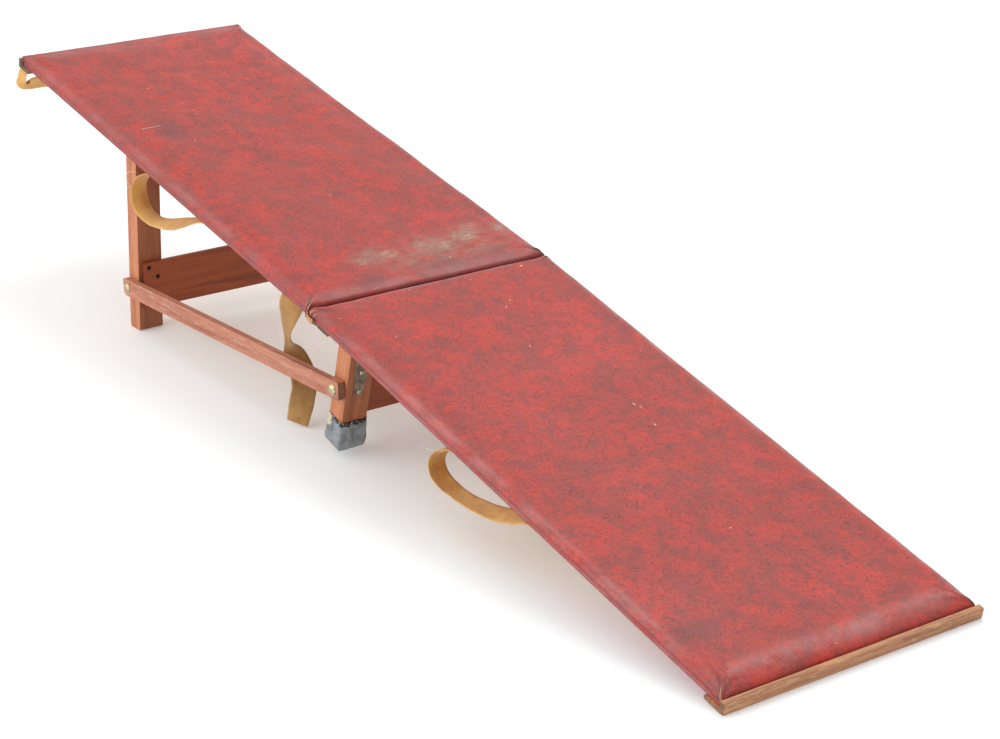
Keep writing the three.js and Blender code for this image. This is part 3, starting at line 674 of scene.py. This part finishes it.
def corner_pleats(s, y, corner_s, corner_y, count, phase, reach=40.0):
    """Ridges that run into one corner, in mm of height."""
    ds, dy = abs(s - corner_s), abs(y - corner_y)
    far = math.hypot(ds, dy)
    if far > reach or far < 1e-6:
        return 0.0
    angle = math.atan2(dy, ds)
    fade = (1 - far / reach) ** 1.4 * min(1.0, far / 4.0)
    return math.sin(angle * count + phase) * fade


CREASES = {"upper": [(36, 168, 3, 201, 2.2), (24, 190, 3, 202, 1.6), (30, -176, 4, -201, 2.0),
                     (16, -192, 3, -203, 1.6)],
           "lower": [(34, -178, 8, -202, 2.2), (44, -192, 20, -203, 1.8), (24, 184, 3, 202, 1.6),
                     (868, -184, 903, -201, 2.4), (880, -196, 904, -202, 1.8), (878, 190, 903, 202, 1.2)]}


def crease_depth(half, s, y):
    """How deep the nearest pulled crease is at a place, in mm."""
    deep = 0.0
    for s0, y0, s1, y1, depth in CREASES[half]:
        ds, dy = s1 - s0, y1 - y0
        f = max(0.0, min(1.0, ((s - s0) * ds + (y - y0) * dy) / (ds * ds + dy * dy)))
        gap = math.hypot(s - s0 - f * ds, y - y0 - f * dy)
        deep = max(deep, depth * f ** 0.6 * falloff(gap, 1.9))
    return deep


# s, y and number of pleats at each corner, and their heights on the upper and the lower half
CORNERS = [(1, -HALF_WIDTH, 9, 2.2, 2.2), (1, HALF_WIDTH, 9, 1.9, 1.9),
           (HALF, -HALF_WIDTH, 7, 0.4, 2.0), (HALF, HALF_WIDTH, 7, 0.8, 0.8)]
TOP_ENDS, LIP, LIP_ENDS, UNDERSIDE = 9.2, 9.5, 15.0, 15.5  # depths of the cover's top, side and underside


def build_cover(half):
    """A half's cover, swollen by its pad, then gathered, creased and worn at its edges, with a painted sheen on
    its rolls and painted shade in its creases, pleats and fold.
    """
    name, head = f"vinyl_{half}", half == "upper"
    local, faces = cover_mesh()
    moved = inflate(name, local, faces)
    far = np.linalg.norm(moved, axis=1)
    caps = np.array([2.4 + 1.3 * smooth_noise(s, y, 120, 3.0 if head else 8.0)
                     + 0.5 * smooth_noise(s, y, 45, 5.0) for s, y, _ in local])
    k = np.where(far > 1e-9, np.minimum(far, np.clip(caps, 1.2, PUFF)) / np.maximum(far, 1e-9), 0)
    shaped = local + moved * k[:, None] * np.array([0.35, 0.35, 1.0])
    seed = 11.0 if head else 23.0
    # wear: rubbed pale edges and a painted sheen on the rolls; shade: painted shade; raw: the cut edge of the
    # cloth under the board
    wear, shade, raw = np.zeros((3, len(local)))
    for i, (s, y, d) in enumerate(local):
        edge_fold, edge_end = s - 1, HALF - s
        gap = min(HALF_WIDTH - abs(y), edge_fold, edge_end)
        top, by_end = d < TOP_ENDS, edge_end == gap
        if top:
            crest = falloff(gap - 12, 8) * (0.75 + 0.5 * smooth_noise(s, y, 60, seed))
            if by_end and not head:
                crest = 2.7 * falloff(gap - 27, 15) * (0.9 + 0.3 * smooth_noise(0, y, 90, seed))
            ripple = smooth_noise(s, y * 3, 26, seed + 2) * math.exp(-gap / 20)
            swell = smooth_noise(s, y * 1.3, 110, seed + 9) * min(1.0, gap / 30)
            shaped[i, 2] -= crest + 0.6 * ripple + 0.4 * smooth_noise(s * 1.5, y, 38, seed + 4) + 0.8 * swell
            shade[i] = 0.5 * max(0.0, 1 - gap / 3)
        if edge_fold < 30 and d < 13:
            along, up = (-1.5, 1.44 + 0.9 * smooth_noise(0, y, 50, 2.0)) if head else (0.4, 0.4)
            shaped[i, 0] += along * falloff(edge_fold, 14)
            shaped[i, 2] -= up * falloff(edge_fold, 14)
        if head and edge_end < 24 and d < 9.6:
            over = falloff(edge_end, 8)
            if top:
                shaped[i, 0] += HEAD_OVERHANG * over
                shaped[i, 2] = shaped[i, 2] * (1 - 0.52 * over) - 1.5 * over
            else:
                shaped[i, 2] -= 5.4 * falloff(edge_end, 3)
        if d < LIP_ENDS:
            for corner_s, corner_y, count, high_head, high_foot in CORNERS:
                lift = corner_pleats(s, y, corner_s, corner_y, count, seed)
                shaped[i, 2] -= (high_head if head else high_foot) * lift * (1.0 if top else 0.3)
                shade[i] = max(shade[i], -lift * 1.2)
        if d < 13:
            deep = crease_depth(half, s, y)
            shaped[i, 2] += deep * (1.0 if top else 0.2)
            shade[i] = max(shade[i], 0.42 * deep)
        if d >= UNDERSIDE:
            mouth = HEM + 4.0 * smooth_noise(s, y, 70, seed + 6) + 1.5 * smooth_noise(s, y, 14, seed + 7)
            shaped[i, 2] = 14.2 if gap > mouth else THICK - 0.15 + 0.12 * smooth_noise(s, y, 25, seed)
            raw[i] = mouth - 6 < gap <= mouth
        # rubbed wear and a painted sheen along the rolled edges, broad on the foot end's crest and on the head
        # half's roll by the fold
        if top:
            roll = falloff(gap - 6, 6)
            if by_end:
                roll = 0.9 * (falloff(gap - 8, 10) if head else falloff(gap - 26, 13))
            wear[i] = roll * (0.65 + 0.5 * smooth_noise(s, y, 90, seed + 1))
            if head and edge_fold < 34:
                crest = falloff(edge_fold - 12, 10) * (0.8 + 0.5 * smooth_noise(s, y, 50, 4))
                wear[i] = max(wear[i], 0.75 * crest)
        elif LIP < d < LIP_ENDS:
            wear[i] = 0.75
        if edge_fold < 3 and d > 5:
            shade[i] = 1.0
        if LIP < d <= LIP_ENDS:
            shade[i] = max(shade[i], 0.8 if d < 10.5 else 0.38)
    shaped[:, 2] = np.minimum(shaped[:, 2], THICK)
    o = make(name, at_all(half, shaped), faces, VINYL)
    for key, values in (("wear", wear), ("shade", shade), ("raw", raw)):
        attribute(o, key, np.clip(values, 0, 1))
    finer = o.modifiers.new("sub", "SUBSURF")
    finer.levels = finer.render_levels = 1
    apply_modifiers(o)
    attach(o, half, "red_vinyl", f"cover_{half}", f"pad_{half}")
    return o


covers = {half: build_cover(half) for half in ("upper", "lower")}


# ---- webbing ----
def spline(points, n):
    """Catmull-Rom through control rows of any width, n samples in all."""
    p = np.asarray(points, float)
    p = np.vstack([2 * p[0] - p[1], p, 2 * p[-1] - p[-2]])
    out = []
    spans = len(p) - 3
    for q in np.linspace(0, spans - 1e-9, n):
        k = int(q)
        t = q - k
        a, b, c, d = p[k], p[k + 1], p[k + 2], p[k + 3]
        out.append(0.5 * ((2 * b) + (c - a) * t + (2 * a - 5 * b + 4 * c - d) * t * t
                          + (3 * b - a - 3 * c + d) * t ** 3))
    return np.array(out)


def strap(name, half, rows, width, thick, material, n, wave, seed):
    """A flat band. Each row is a middle point (s, y, depth) in mm, the direction of its width, and its curl."""
    got = spline(rows, n)
    mid, across, curls = got[:, :3], got[:, 3:6], got[:, 6]
    tangent = np.gradient(mid, axis=0)
    tangent /= np.linalg.norm(tangent, axis=1)[:, None]
    across = across - (across * tangent).sum(1)[:, None] * tangent
    across /= np.linalg.norm(across, axis=1)[:, None]
    normal = np.cross(tangent, across)
    run = np.concatenate([[0], np.cumsum(np.linalg.norm(np.diff(mid, axis=0), axis=1))])
    m = 11
    verts, uvs = [], []
    for i in range(n):
        for side in (1, -1):
            for k in range(m)[::side]:
                q = k / (m - 1) - 0.5
                belly = curls[i] * (0.25 - q * q) * 4 + wave * smooth_noise(run[i], q * 30, 18, seed)
                slim = side * thick / 2 * (1 - 0.45 * (abs(q) * 2) ** 8)
                verts.append(mid[i] + across[i] * (q * width) + normal[i] * (belly + slim))
                uvs.append(((q + 0.5) * width * MM, run[i] * MM))
    o = make(name, at_all(half, verts), band_faces(n, m), material)
    set_uv(o, uvs)
    return o, run[-1]


def webbing(name, half, rows, width, material, n, seed, node):
    """A strap that stands for a CAD node, hung from the piece it rests on."""
    o, length = strap(name, half, rows, width, WEB_THICK, material, n, 0.8, seed)
    attach(o, half, "webbing", node)
    return o


def flatten(piece):
    """Gives a piece its own copy of its mesh."""
    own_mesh(piece)


upper_loop = webbing("strap_upper", "upper", [
    (452, -184, BED, 0, 1, 0, 0), (474, -185, 17.8, 0, 1, 0, 0), (494, -191, 27, 0.1, 1, 0, 0.6),
    (506, -196, 46, 0.15, 1, -0.05, 2.4), (505, -197, 67, 0.1, 1, 0, 3.2), (493, -197, 81, 0, 1, 0.05, 3.6),
    (472, -197, 86.5, 0, 1, 0, 3.2), (444, -197, 83, 0, 1, -0.15, 2.2), (413, -197, 72, 0, 1, -0.40, 1.0),
    (382, -197, 58, 0, 1, -0.60, -1.0), (350, -196, 41, 0, 1, -0.45, -1.6), (322, -191, 25, 0, 1, -0.15, -0.5),
    (304, -185, 18.2, 0, 1, 0, 0), (284, -184, BED, 0, 1, 0, 0)],
    WEB_WIDTH, WEBBING, 110, 4.0, "handle_upper")
lower_loop = webbing("strap_lower", "lower", [
    (372, -184, BED, 0, 1, 0, 0), (352, -186, 18.0, 0, 1, 0, 0), (335, -193, 27, 0, 1, 0, 0.6),
    (325, -197, 44, -0.1, 1, 0.1, 2.2), (327, -197, 61, -0.1, 1, 0.1, 3.0), (344, -197, 70, 0, 1, 0.05, 3.4),
    (378, -197, 69, 0, 1, 0.05, 2.6), (411, -197, 62, 0, 1, -0.05, 1.8), (440, -197, 53, 0, 1, -0.15, 1.2),
    (472, -197, 40, 0, 1, -0.35, 0.8), (500, -193, 27, 0, 1, -0.35, 0), (520, -187, 18.6, 0, 1, -0.05, 0),
    (540, -184, BED, 0, 1, 0, 0)],
    WEB_WIDTH, WEBBING, 110, 9.0, "handle_lower")
loose = webbing("strap_loose", "upper", [
    (64, -174, 17.2, 0.30, -0.95, 0, 0), (74, -176, 22, 0.35, -0.94, 0, 0), (79, -178, 38, 0.65, -0.76, 0, 1.2),
    (86, -179, 62, 0.97, -0.25, 0, 2.4), (90, -178, 86, 0.97, 0.15, 0, 3.2),
    (87, -176, 106, 0.97, 0.20, 0, 2.6), (73, -174, 123, 0.88, -0.45, 0, 1.4),
    (51, -172, 138, 0.45, -0.89, 0, 0.5), (41, -172, 157, 0.35, -0.93, 0, 1.0),
    (40, -174, 180, 0.55, -0.83, 0, 0.8), (39, -178, 203, 0.85, -0.52, 0, 0.3),
    (37, -181, 216, 0.92, -0.38, 0, 0)],
    LOOSE_WIDTH, WEBBING_LOOSE, 110, 14.0, "loose_strap")
# the head strap runs down one side, across under the rail and up the other, the same both ways
near_side = [(907, -y, d, 1, 0, tip, curl) for y, d, tip, curl in (
    (172, 22.8, 0, 0), (187, 23, 0, 0), (196, 25, 0.1, 0.3), (201, 31, 0.25, 1.0), (202, 40, 0.45, 1.8),
    (201, 48, 0.8, 2.0), (193, 52, 1.4, 1.6), (168, 51, 2.2, 1.0), (100, 50, 2.4, 1.0))]
far_side = [(s, -y, *rest) for s, y, *rest in near_side[::-1]]
head = webbing("strap_head", "upper", near_side + [(907, 0, 50, 1, 0, 2.2, 1.0)] + far_side,
               WEB_WIDTH, WEBBING, 170, 31.0, "head_strap")
for piece, half, s, y, keep in ((upper_loop, "upper", 400, -197, 0.10), (lower_loop, "lower", 430, -197, 0.12),
                                (loose, "upper", 70, -174, 0.05), (head, "upper", 907, 0, 0.55)):
    flatten(piece)


# ---- CAD pieces: rounded edges and real materials ----
# the first word that a node's name holds gives its material and its bevel in mm
DRESS = [("rear_leg", LEG_REAR, 1.8), ("front_leg", LEG_FRONT, 1.8), ("link_bolt", BRASS, 0.3),
         ("link_", LINK, 1.2), ("foot_rail", RAIL, 1.0), ("head_rail", RAIL_HEAD, 1.0), ("batten", BATTEN, 1.0),
         ("crossbar_screw", DARK_SCREW, 0.2), ("crossbar", CROSSBAR, 0.8), ("board", PLY, 0), ("pad", FOAM, 0),
         ("_screw_", BRASS, 0.2), ("hinge", HINGE, 0.25), ("foot_tape", TAPE, 0.3)]

for node, o in frame["nodes"].items():
    look = next((row for row in DRESS if row[0] in node), None)
    if look is None:
        continue
    _, material, bevel = look
    o.data.materials.clear()
    o.data.materials.append(material)
    if bevel:
        edge = o.modifiers.new("edge", "BEVEL")
        edge.width = bevel * MM
        edge.segments = 3 if bevel > 1.5 else 2
        edge.limit_method = "ANGLE"
        edge.angle_limit = math.radians(35)


# ---- small parts: staples and tacks ----
TACK_RADIUS, TACK_HEIGHT = 0.0028, 0.0013
STAPLE_WIRE = 0.00042
STAPLE_ROWS, STAPLE_PITCH, STAPLE_START = 24, 36.5, 30
STAPLE_PATH = [(-4.5, 15.0), (-4.5, 16.05), (-4.1, 16.5), (-2.0, 16.6), (2.0, 16.6), (4.1, 16.5), (4.5, 16.05),
               (4.5, 15.0)]  # along the staple, and depth
BAR_LANDS = {"upper": (160, 244), "lower": (735, 819)}  # where a folded crossbar lies
TAPE_LANDS = (212, 278)  # where the folded taped foot lies, on the near side of the lower half


def tube(points, radius, sides):
    """A thin closed tube along points in metres."""
    p = np.asarray(points, float)
    t = np.gradient(p, axis=0)
    t /= np.linalg.norm(t, axis=1)[:, None]
    verts = []
    side = np.cross(t[0], (0.31, 0.77, 0.56))
    for k in range(len(p)):
        side = side - np.dot(side, t[k]) * t[k]
        side /= np.linalg.norm(side)
        other = np.cross(t[k], side)
        for a in range(sides):
            q = 2 * math.pi * a / sides
            verts.append(p[k] + radius * (math.cos(q) * side + math.sin(q) * other))
    return verts, ring_faces(len(p), sides) + end_faces(len(p), sides)


def joined(name, parts, material):
    """One object from many (verts, faces) shells."""
    verts, faces = [], []
    for v, f in parts:
        base = len(verts)
        verts += list(v)
        faces += [[base + k for k in face] for face in f]
    return make(name, verts, faces, material)


def tack(centre, normal):
    """A domed head that stands on a surface."""
    u = normal.cross(Vector((0.2, 0.5, 0.84))).normalized()
    w = normal.cross(u)
    rings, sides = 10, 32
    levels = [(k / rings, TACK_HEIGHT * (0.25 + 0.75 * math.sqrt(1 - (k / rings) ** 2)))
              for k in range(rings + 1)] + [(1, -0.0004)]
    verts = []
    for share, high in levels:
        for a in range(sides):
            q = 2 * math.pi * a / sides
            verts.append(centre + share * TACK_RADIUS * (math.cos(q) * u + math.sin(q) * w) + high * normal)
    return verts, ring_faces(len(levels), sides) + end_faces(len(levels), sides)


def group(name, half, parts, material, slot):
    o = joined(name, parts, material)
    fix_normals(o, merge=True)
    attach(o, half, slot)


def staple(half, s, y, angle, rng):
    """A wire staple, 9 mm wide, driven into the underside."""
    a = angle + rng.uniform(-0.25, 0.25)
    path = [at(half, s + q * math.cos(a), y + q * math.sin(a), d) for q, d in STAPLE_PATH]
    return tube(path, STAPLE_WIRE, 5)


for half in ("upper", "lower"):
    rng = random.Random(5 if half == "upper" else 6)
    parts = []
    for side in (-1, 1):
        for k in range(STAPLE_ROWS):
            s_here = STAPLE_START + k * STAPLE_PITCH + rng.uniform(-5, 5)
            inset = 34 + rng.uniform(-5, 5)
            under_tape = half == "lower" and side < 0 and TAPE_LANDS[0] < s_here < TAPE_LANDS[1]
            if BAR_LANDS[half][0] < s_here < BAR_LANDS[half][1] or under_tape:
                continue
            parts.append(staple(half, s_here, side * (HALF_WIDTH - inset), 0.0, rng))
    for k in range(8):
        s_here, y_here = 868 + rng.uniform(-2, 2), -150 + k * 43 + rng.uniform(-4, 4)
        parts.append(staple(half, s_here, y_here, math.pi / 2, rng))
    group(f"staples_{half}", half, parts, STAPLE, "hinge_steel")
    ends = (292, 462) if half == "upper" else (362, 532)
    tacks = [tack(at(half, s + ds, -184 + dy, 18.3), -up_of(half))
             for s in ends for ds, dy in ((-5, -7), (-5, 7), (5, 0))]
    group(f"tacks_{half}", half, tacks, DARK_SCREW, "dark_screw")


# ---- gathered corners of the covers: pleats that follow the surface, each with a raw edge and a slit ----
def pleat(half, path, width, lift):
    """One pleat along a path of (s, y, depth) in mm: it rises across its width and drops at its raw edge."""
    cover = covers[half]
    n, m = 26, 9
    found = [cover.closest_point_on_mesh(Vector(p)) for p in at_all(half, spline(path, n))]
    verts, uvs = [], []
    for i in range(n):
        _, here, normal, _ = found[i]
        ahead = found[min(i + 1, n - 1)][1] - found[max(i - 1, 0)][1]
        across = ahead.cross(normal).normalized()
        taper = math.sin(math.pi * (0.04 + 0.92 * i / (n - 1))) ** 0.5
        over, under = [], []
        for k in range(m):
            q = k / (m - 1)
            _, spot, out, _ = cover.closest_point_on_mesh(here + across * ((q - 0.5) * width * taper * MM))
            high = lift * taper * (q ** 1.3 + 0.25 * math.sin(math.pi * q)) * MM
            high += 0.12 * MM * smooth_noise(i * 3, k * 6, 9, width)
            over.append(spot + out * (high + 0.0001))
            under.append(spot - out * 0.0012)
        verts += over + under[::-1]
        # the shader's red, cream and slit lie at 0 to 1 across; the hidden side goes on to 1.4 and back
        uvs += [(k / (m - 1), 0.5) for k in range(m)] + [(1.4 - 1.4 * k / (m - 1), 0.5) for k in range(m)]
    return verts, band_faces(n, m), uvs


def gather(name, half, pleats):
    parts = [pleat(half, path, width, lift) for width, lift, path in pleats]
    o = joined(name, [(v, f) for v, f, _ in parts], VINYL_EDGE)
    set_uv(o, [uv for _, _, uvs in parts for uv in uvs])
    attach(o, half, "red_vinyl")


gather("gather_fold_near", "lower", [
    (4.8, 1.6, [(8, -191, 0.5), (6, -196, 1), (3.8, -200, 4), (2.6, -202.8, 8), (2.6, -203.6, 14.5)]),
    (4.4, 1.5, [(14, -195, 0.5), (11.5, -198.6, 2), (9, -201.8, 5), (7.8, -203.4, 9), (8.4, -203.6, 14.5)]),
    (3.4, 1.0, [(20, -200, 1.5), (17, -202, 4), (15, -203.2, 7), (15.4, -203.6, 12)])])
gather("gather_fold_near_upper", "upper", [
    (4.2, 1.5, [(4, -203.6, 14.5), (2.4, -202.8, 8), (3.6, -200.2, 4), (5.4, -196.4, 1), (7, -192, 0.5)]),
    (3.6, 1.0, [(9.4, -203.6, 13), (7.6, -203, 7), (8.4, -200.8, 3), (10.5, -197.6, 1), (13, -195, 0.5)])])
gather("gather_fold_far", "upper", [
    (4.2, 1.2, [(13, 187, 0), (8, 195, 1), (4.2, 200.5, 4), (2.6, 203.2, 9), (3.4, 203.6, 14)]),
    (3.6, 1.0, [(20, 192, 0.5), (14.5, 199, 2), (11, 203.0, 7), (11.5, 203.6, 13)])])
gather("gather_fold_far_lower", "lower", [
    (4.0, 1.1, [(12, 188, 0), (7.5, 196, 1), (4.2, 200.8, 4), (2.8, 203.2, 9), (3.4, 203.6, 14)])])
gather("gather_foot_near", "lower", [
    (4.2, 1.8, [(891, -193.5, 0.6), (896, -197, 1.5), (900, -199.8, 4), (903, -201.6, 8), (903.6, -202, 13)])])
gather("gather_foot_far", "lower", [
    (3.4, 0.7, [(886, 192, 0.5), (894, 196.5, 1), (900, 199.8, 4), (903.4, 201.4, 8), (903.6, 202, 13)])])
gather("gather_head_near", "upper", [
    (3.4, 0.8, [(901, -200.8, 6), (903, -201.6, 8), (903.4, -202.2, 11), (903.2, -202.6, 14)])])
gather("gather_head_far", "upper", [
    (3.4, 0.8, [(901, 200.8, 6), (903, 201.6, 8), (903.4, 202.2, 11), (903.2, 202.6, 14)])])
flap, _ = strap("corner_cloth", "lower", [
    (0.6, -201.5, 13.5, 0, 0.05, 1, 0.7), (2.2, -204.6, 14.5, 0, 0.05, 1, 0.7),
    (8, -205.3, 15.4, 0, 0.08, 1, 0.7), (14, -205.2, 15.6, 0, 0.1, 1, 0.7),
    (18, -204.6, 15.0, 0, 0.1, 1, 0.7)], 8.5, 1.0, BACKING, 40, 0.9, 6.0)
attach(flap, "lower", "red_vinyl")


# ---- loose threads, and the stray straw on the head half ----
def thread(name, half, points, radius):
    verts, faces = tube(at_all(half, spline(points, 24)), radius * MM, 6)
    o = make(name, verts, faces, THREAD)
    attach(o, half, "webbing")
    return o


for name, half, s_at, y_at, radius, points in (
        ("thread_upper", "upper", 500, -207, THREAD_RADIUS, [
            (500, -206, 24), (508, -213, 26), (512, -217, 34), (508, -216, 42), (503, -214, 47),
            (506, -217, 53)]),
        ("thread_lower", "lower", 346, -207, THREAD_RADIUS, [
            (346, -207, 22), (337, -214, 22), (329, -219, 25), (322, -222, 24)]),
        ("thread_end_0", "upper", 300, -200, 0.3, [(300, -200, 18.5), (307, -207, 20), (312, -211, 24)]),
        ("thread_end_1", "lower", 520, -200, 0.3, [(520, -200, 18.5), (527, -207, 20), (532, -211, 24)])):
    flatten(thread(name, half, points, radius))
straw = []
for s, y in ((586, -152), (584, -143), (583, -133), (584, -121)):
    _, spot, _, _ = covers["upper"].closest_point_on_mesh(at("upper", s, y, -2.0))
    straw.append((s, y, (at("upper", s, y, 0) - spot).dot(up_of("upper")) / MM - 0.35))
thread("straw", "upper", straw, 0.55)


# ---- the cloth tape round the near front foot ----
def build_tape():
    """Wound cloth tape in the shape of its CAD node: a swollen, wrapped tube, tucked in under the foot."""
    axis = FRONT_AXIS
    across = Vector((axis.z, 0, -axis.x))
    local = [(v.co.dot(across), v.co.y, v.co.dot(axis)) for v in frame["nodes"]["foot_tape"].data.vertices]
    lo = [min(p[k] for p in local) for k in range(3)]
    hi = [max(p[k] for p in local) for k in range(3)]
    mid = [(a + b) / 2 for a, b in zip(lo, hi)]
    half_p, half_y = (hi[0] - lo[0]) / 2, (hi[1] - lo[1]) / 2
    height = hi[2] - lo[2]
    columns, rows_up, corner = 120, 34, 0.0035
    inner_p, inner_y = half_p - corner, half_y - corner
    sides = [2 * inner_y, math.pi / 2 * corner, 2 * inner_p, math.pi / 2 * corner] * 2

    def section(q):
        """A point on the rounded rectangle and its outward direction; q runs 0 to 1 once round."""
        run = q * sum(sides)
        middles = [(inner_p, 0), (inner_p, inner_y), (0, inner_y), (-inner_p, inner_y),
                   (-inner_p, 0), (-inner_p, -inner_y), (0, -inner_y), (inner_p, -inner_y)]
        k = 0
        while k < 7 and run > sides[k]:
            run -= sides[k]
            k += 1
        straight = k % 2 == 0
        angle = (k // 2) * math.pi / 2 + (0 if straight else run / corner)
        n = (math.cos(angle), math.sin(angle))
        shift = run - sides[k] / 2 if straight else 0
        return (middles[k][0] + n[0] * corner - n[1] * shift, middles[k][1] + n[1] * corner + n[0] * shift), n

    def rough(x, y, z):
        return noise.noise(Vector((x, y, z)))

    verts, torn, remnant = [], [], []
    for k in range(rows_up + 1):
        f = k / rows_up
        for a in range(columns):
            q = a / columns
            (p, y), n = section(q)
            turn = 2 * math.pi * q
            u, w = 3.1 * math.cos(turn), 3.1 * math.sin(turn)
            rim = f > 0.97
            h = lo[2] + f * (height + 0.0022 * rough(u * 1.2, w * 1.2, 2.0))
            h += 0.0032 * abs((q * 44) % 1.0 - 0.5) - 0.0012 if rim else 0
            swell = 0.0007 + 0.0036 * (1 - f) ** 1.3 + 0.0013 * rough(u * 0.8, w * 0.8, f * 2.0)
            swell += max(0.0, 0.0006 * math.sin(f * 15 + 2.2 * math.sin(turn) + 0.8))
            swell += 0.00012 * rough(u * 5, w * 5, f * 14)
            near = swell * (1 - 0.9 * max(0.0, -n[1]))  # the link passes close by the near side
            tuck = 0.0042 * max(0.0, 1 - f / 0.22) ** 2
            verts.append(across * (mid[0] + p + n[0] * (swell - tuck)) + axis * h
                         + Vector((0, mid[1] + y + n[1] * (near - tuck * 0.6), 0)))
            torn.append(f > 0.86 + 0.06 * rough(u * 2, w * 2, 9))
            spot = math.hypot((q - 0.78) / 0.045, (f - 0.80) / 0.26)
            remnant.append(spot + 0.5 * rough(u * 4, w * 4, f * 9) < 0.9)
    faces = ring_faces(rows_up + 1, columns)
    centre = across * mid[0] + axis * (lo[2] - 0.0008) + Vector((0, mid[1], 0))
    previous = list(range(columns))
    for step in (0.75, 0.45, 0.15):
        ring = list(range(len(verts), len(verts) + columns))
        verts += [centre.lerp(verts[a], step) for a in range(columns)]
        for a in range(columns):
            b = (a + 1) % columns
            faces.append([ring[a], ring[b], previous[b], previous[a]])
        previous = ring
    faces.append(previous[::-1])
    torn += [False] * (3 * columns)
    remnant += [False] * (3 * columns)
    o = make("tape_wrap", verts, faces, TAPE)
    attribute(o, "torn", torn)
    attribute(o, "remnant", remnant)
    solid = o.modifiers.new("cloth", "SOLIDIFY")
    solid.thickness = 0.0007
    solid.offset = -1
    apply_modifiers(o)
    attach(o, "front_legs", "tape", "foot_tape")


build_tape()


# ---- floor and light ----
REACH = 14.0
floor_mesh = bpy.data.meshes.new("floor")
floor_mesh.from_pydata([(-REACH, -REACH, 0), (REACH, -REACH, 0), (REACH, REACH, 0), (-REACH, REACH, 0)], [],
                       [(0, 1, 2, 3)])
floor_material = Mat("floor").finish(lin(242, 246, 247), 0.75, 0, Emission_Color=(0.94, 0.985, 1.0, 1),
                                     Emission_Strength=0.17)
floor_object = add_object("floor", floor_mesh, floor_material)
floor_object.location.z = -0.0004

# the studio is brighter on the side away from +X
SCENE.world = bpy.data.worlds.new("studio")
sky = Mat("studio", SCENE.world)
background = sky.nt.nodes["Background"]
sky.put(background.inputs["Strength"], sky.span(sky.split(sky.coords("Generated"))[0], 0.05, 0.80, 0.92, 0.46))
sky.put(background.inputs["Color"], (1, 1, 1, 1))


def area_light(name, place, target, size, power):
    data = bpy.data.lights.new(name, "AREA")
    data.shape = "RECTANGLE"
    data.size, data.size_y = size
    data.energy = power
    o = add_object(name, data)
    o.location = place
    o.rotation_euler = (Vector(target) - Vector(place)).to_track_quat("-Z", "Y").to_euler()


area_light("key", (-0.3, 1.6, 3.2), (0, 0, 0.2), (2.6, 2.0), 34)
area_light("fill", (-0.8, -3.3, 1.5), (0.0, 0, 0.1), (4.4, 2.4), 56)
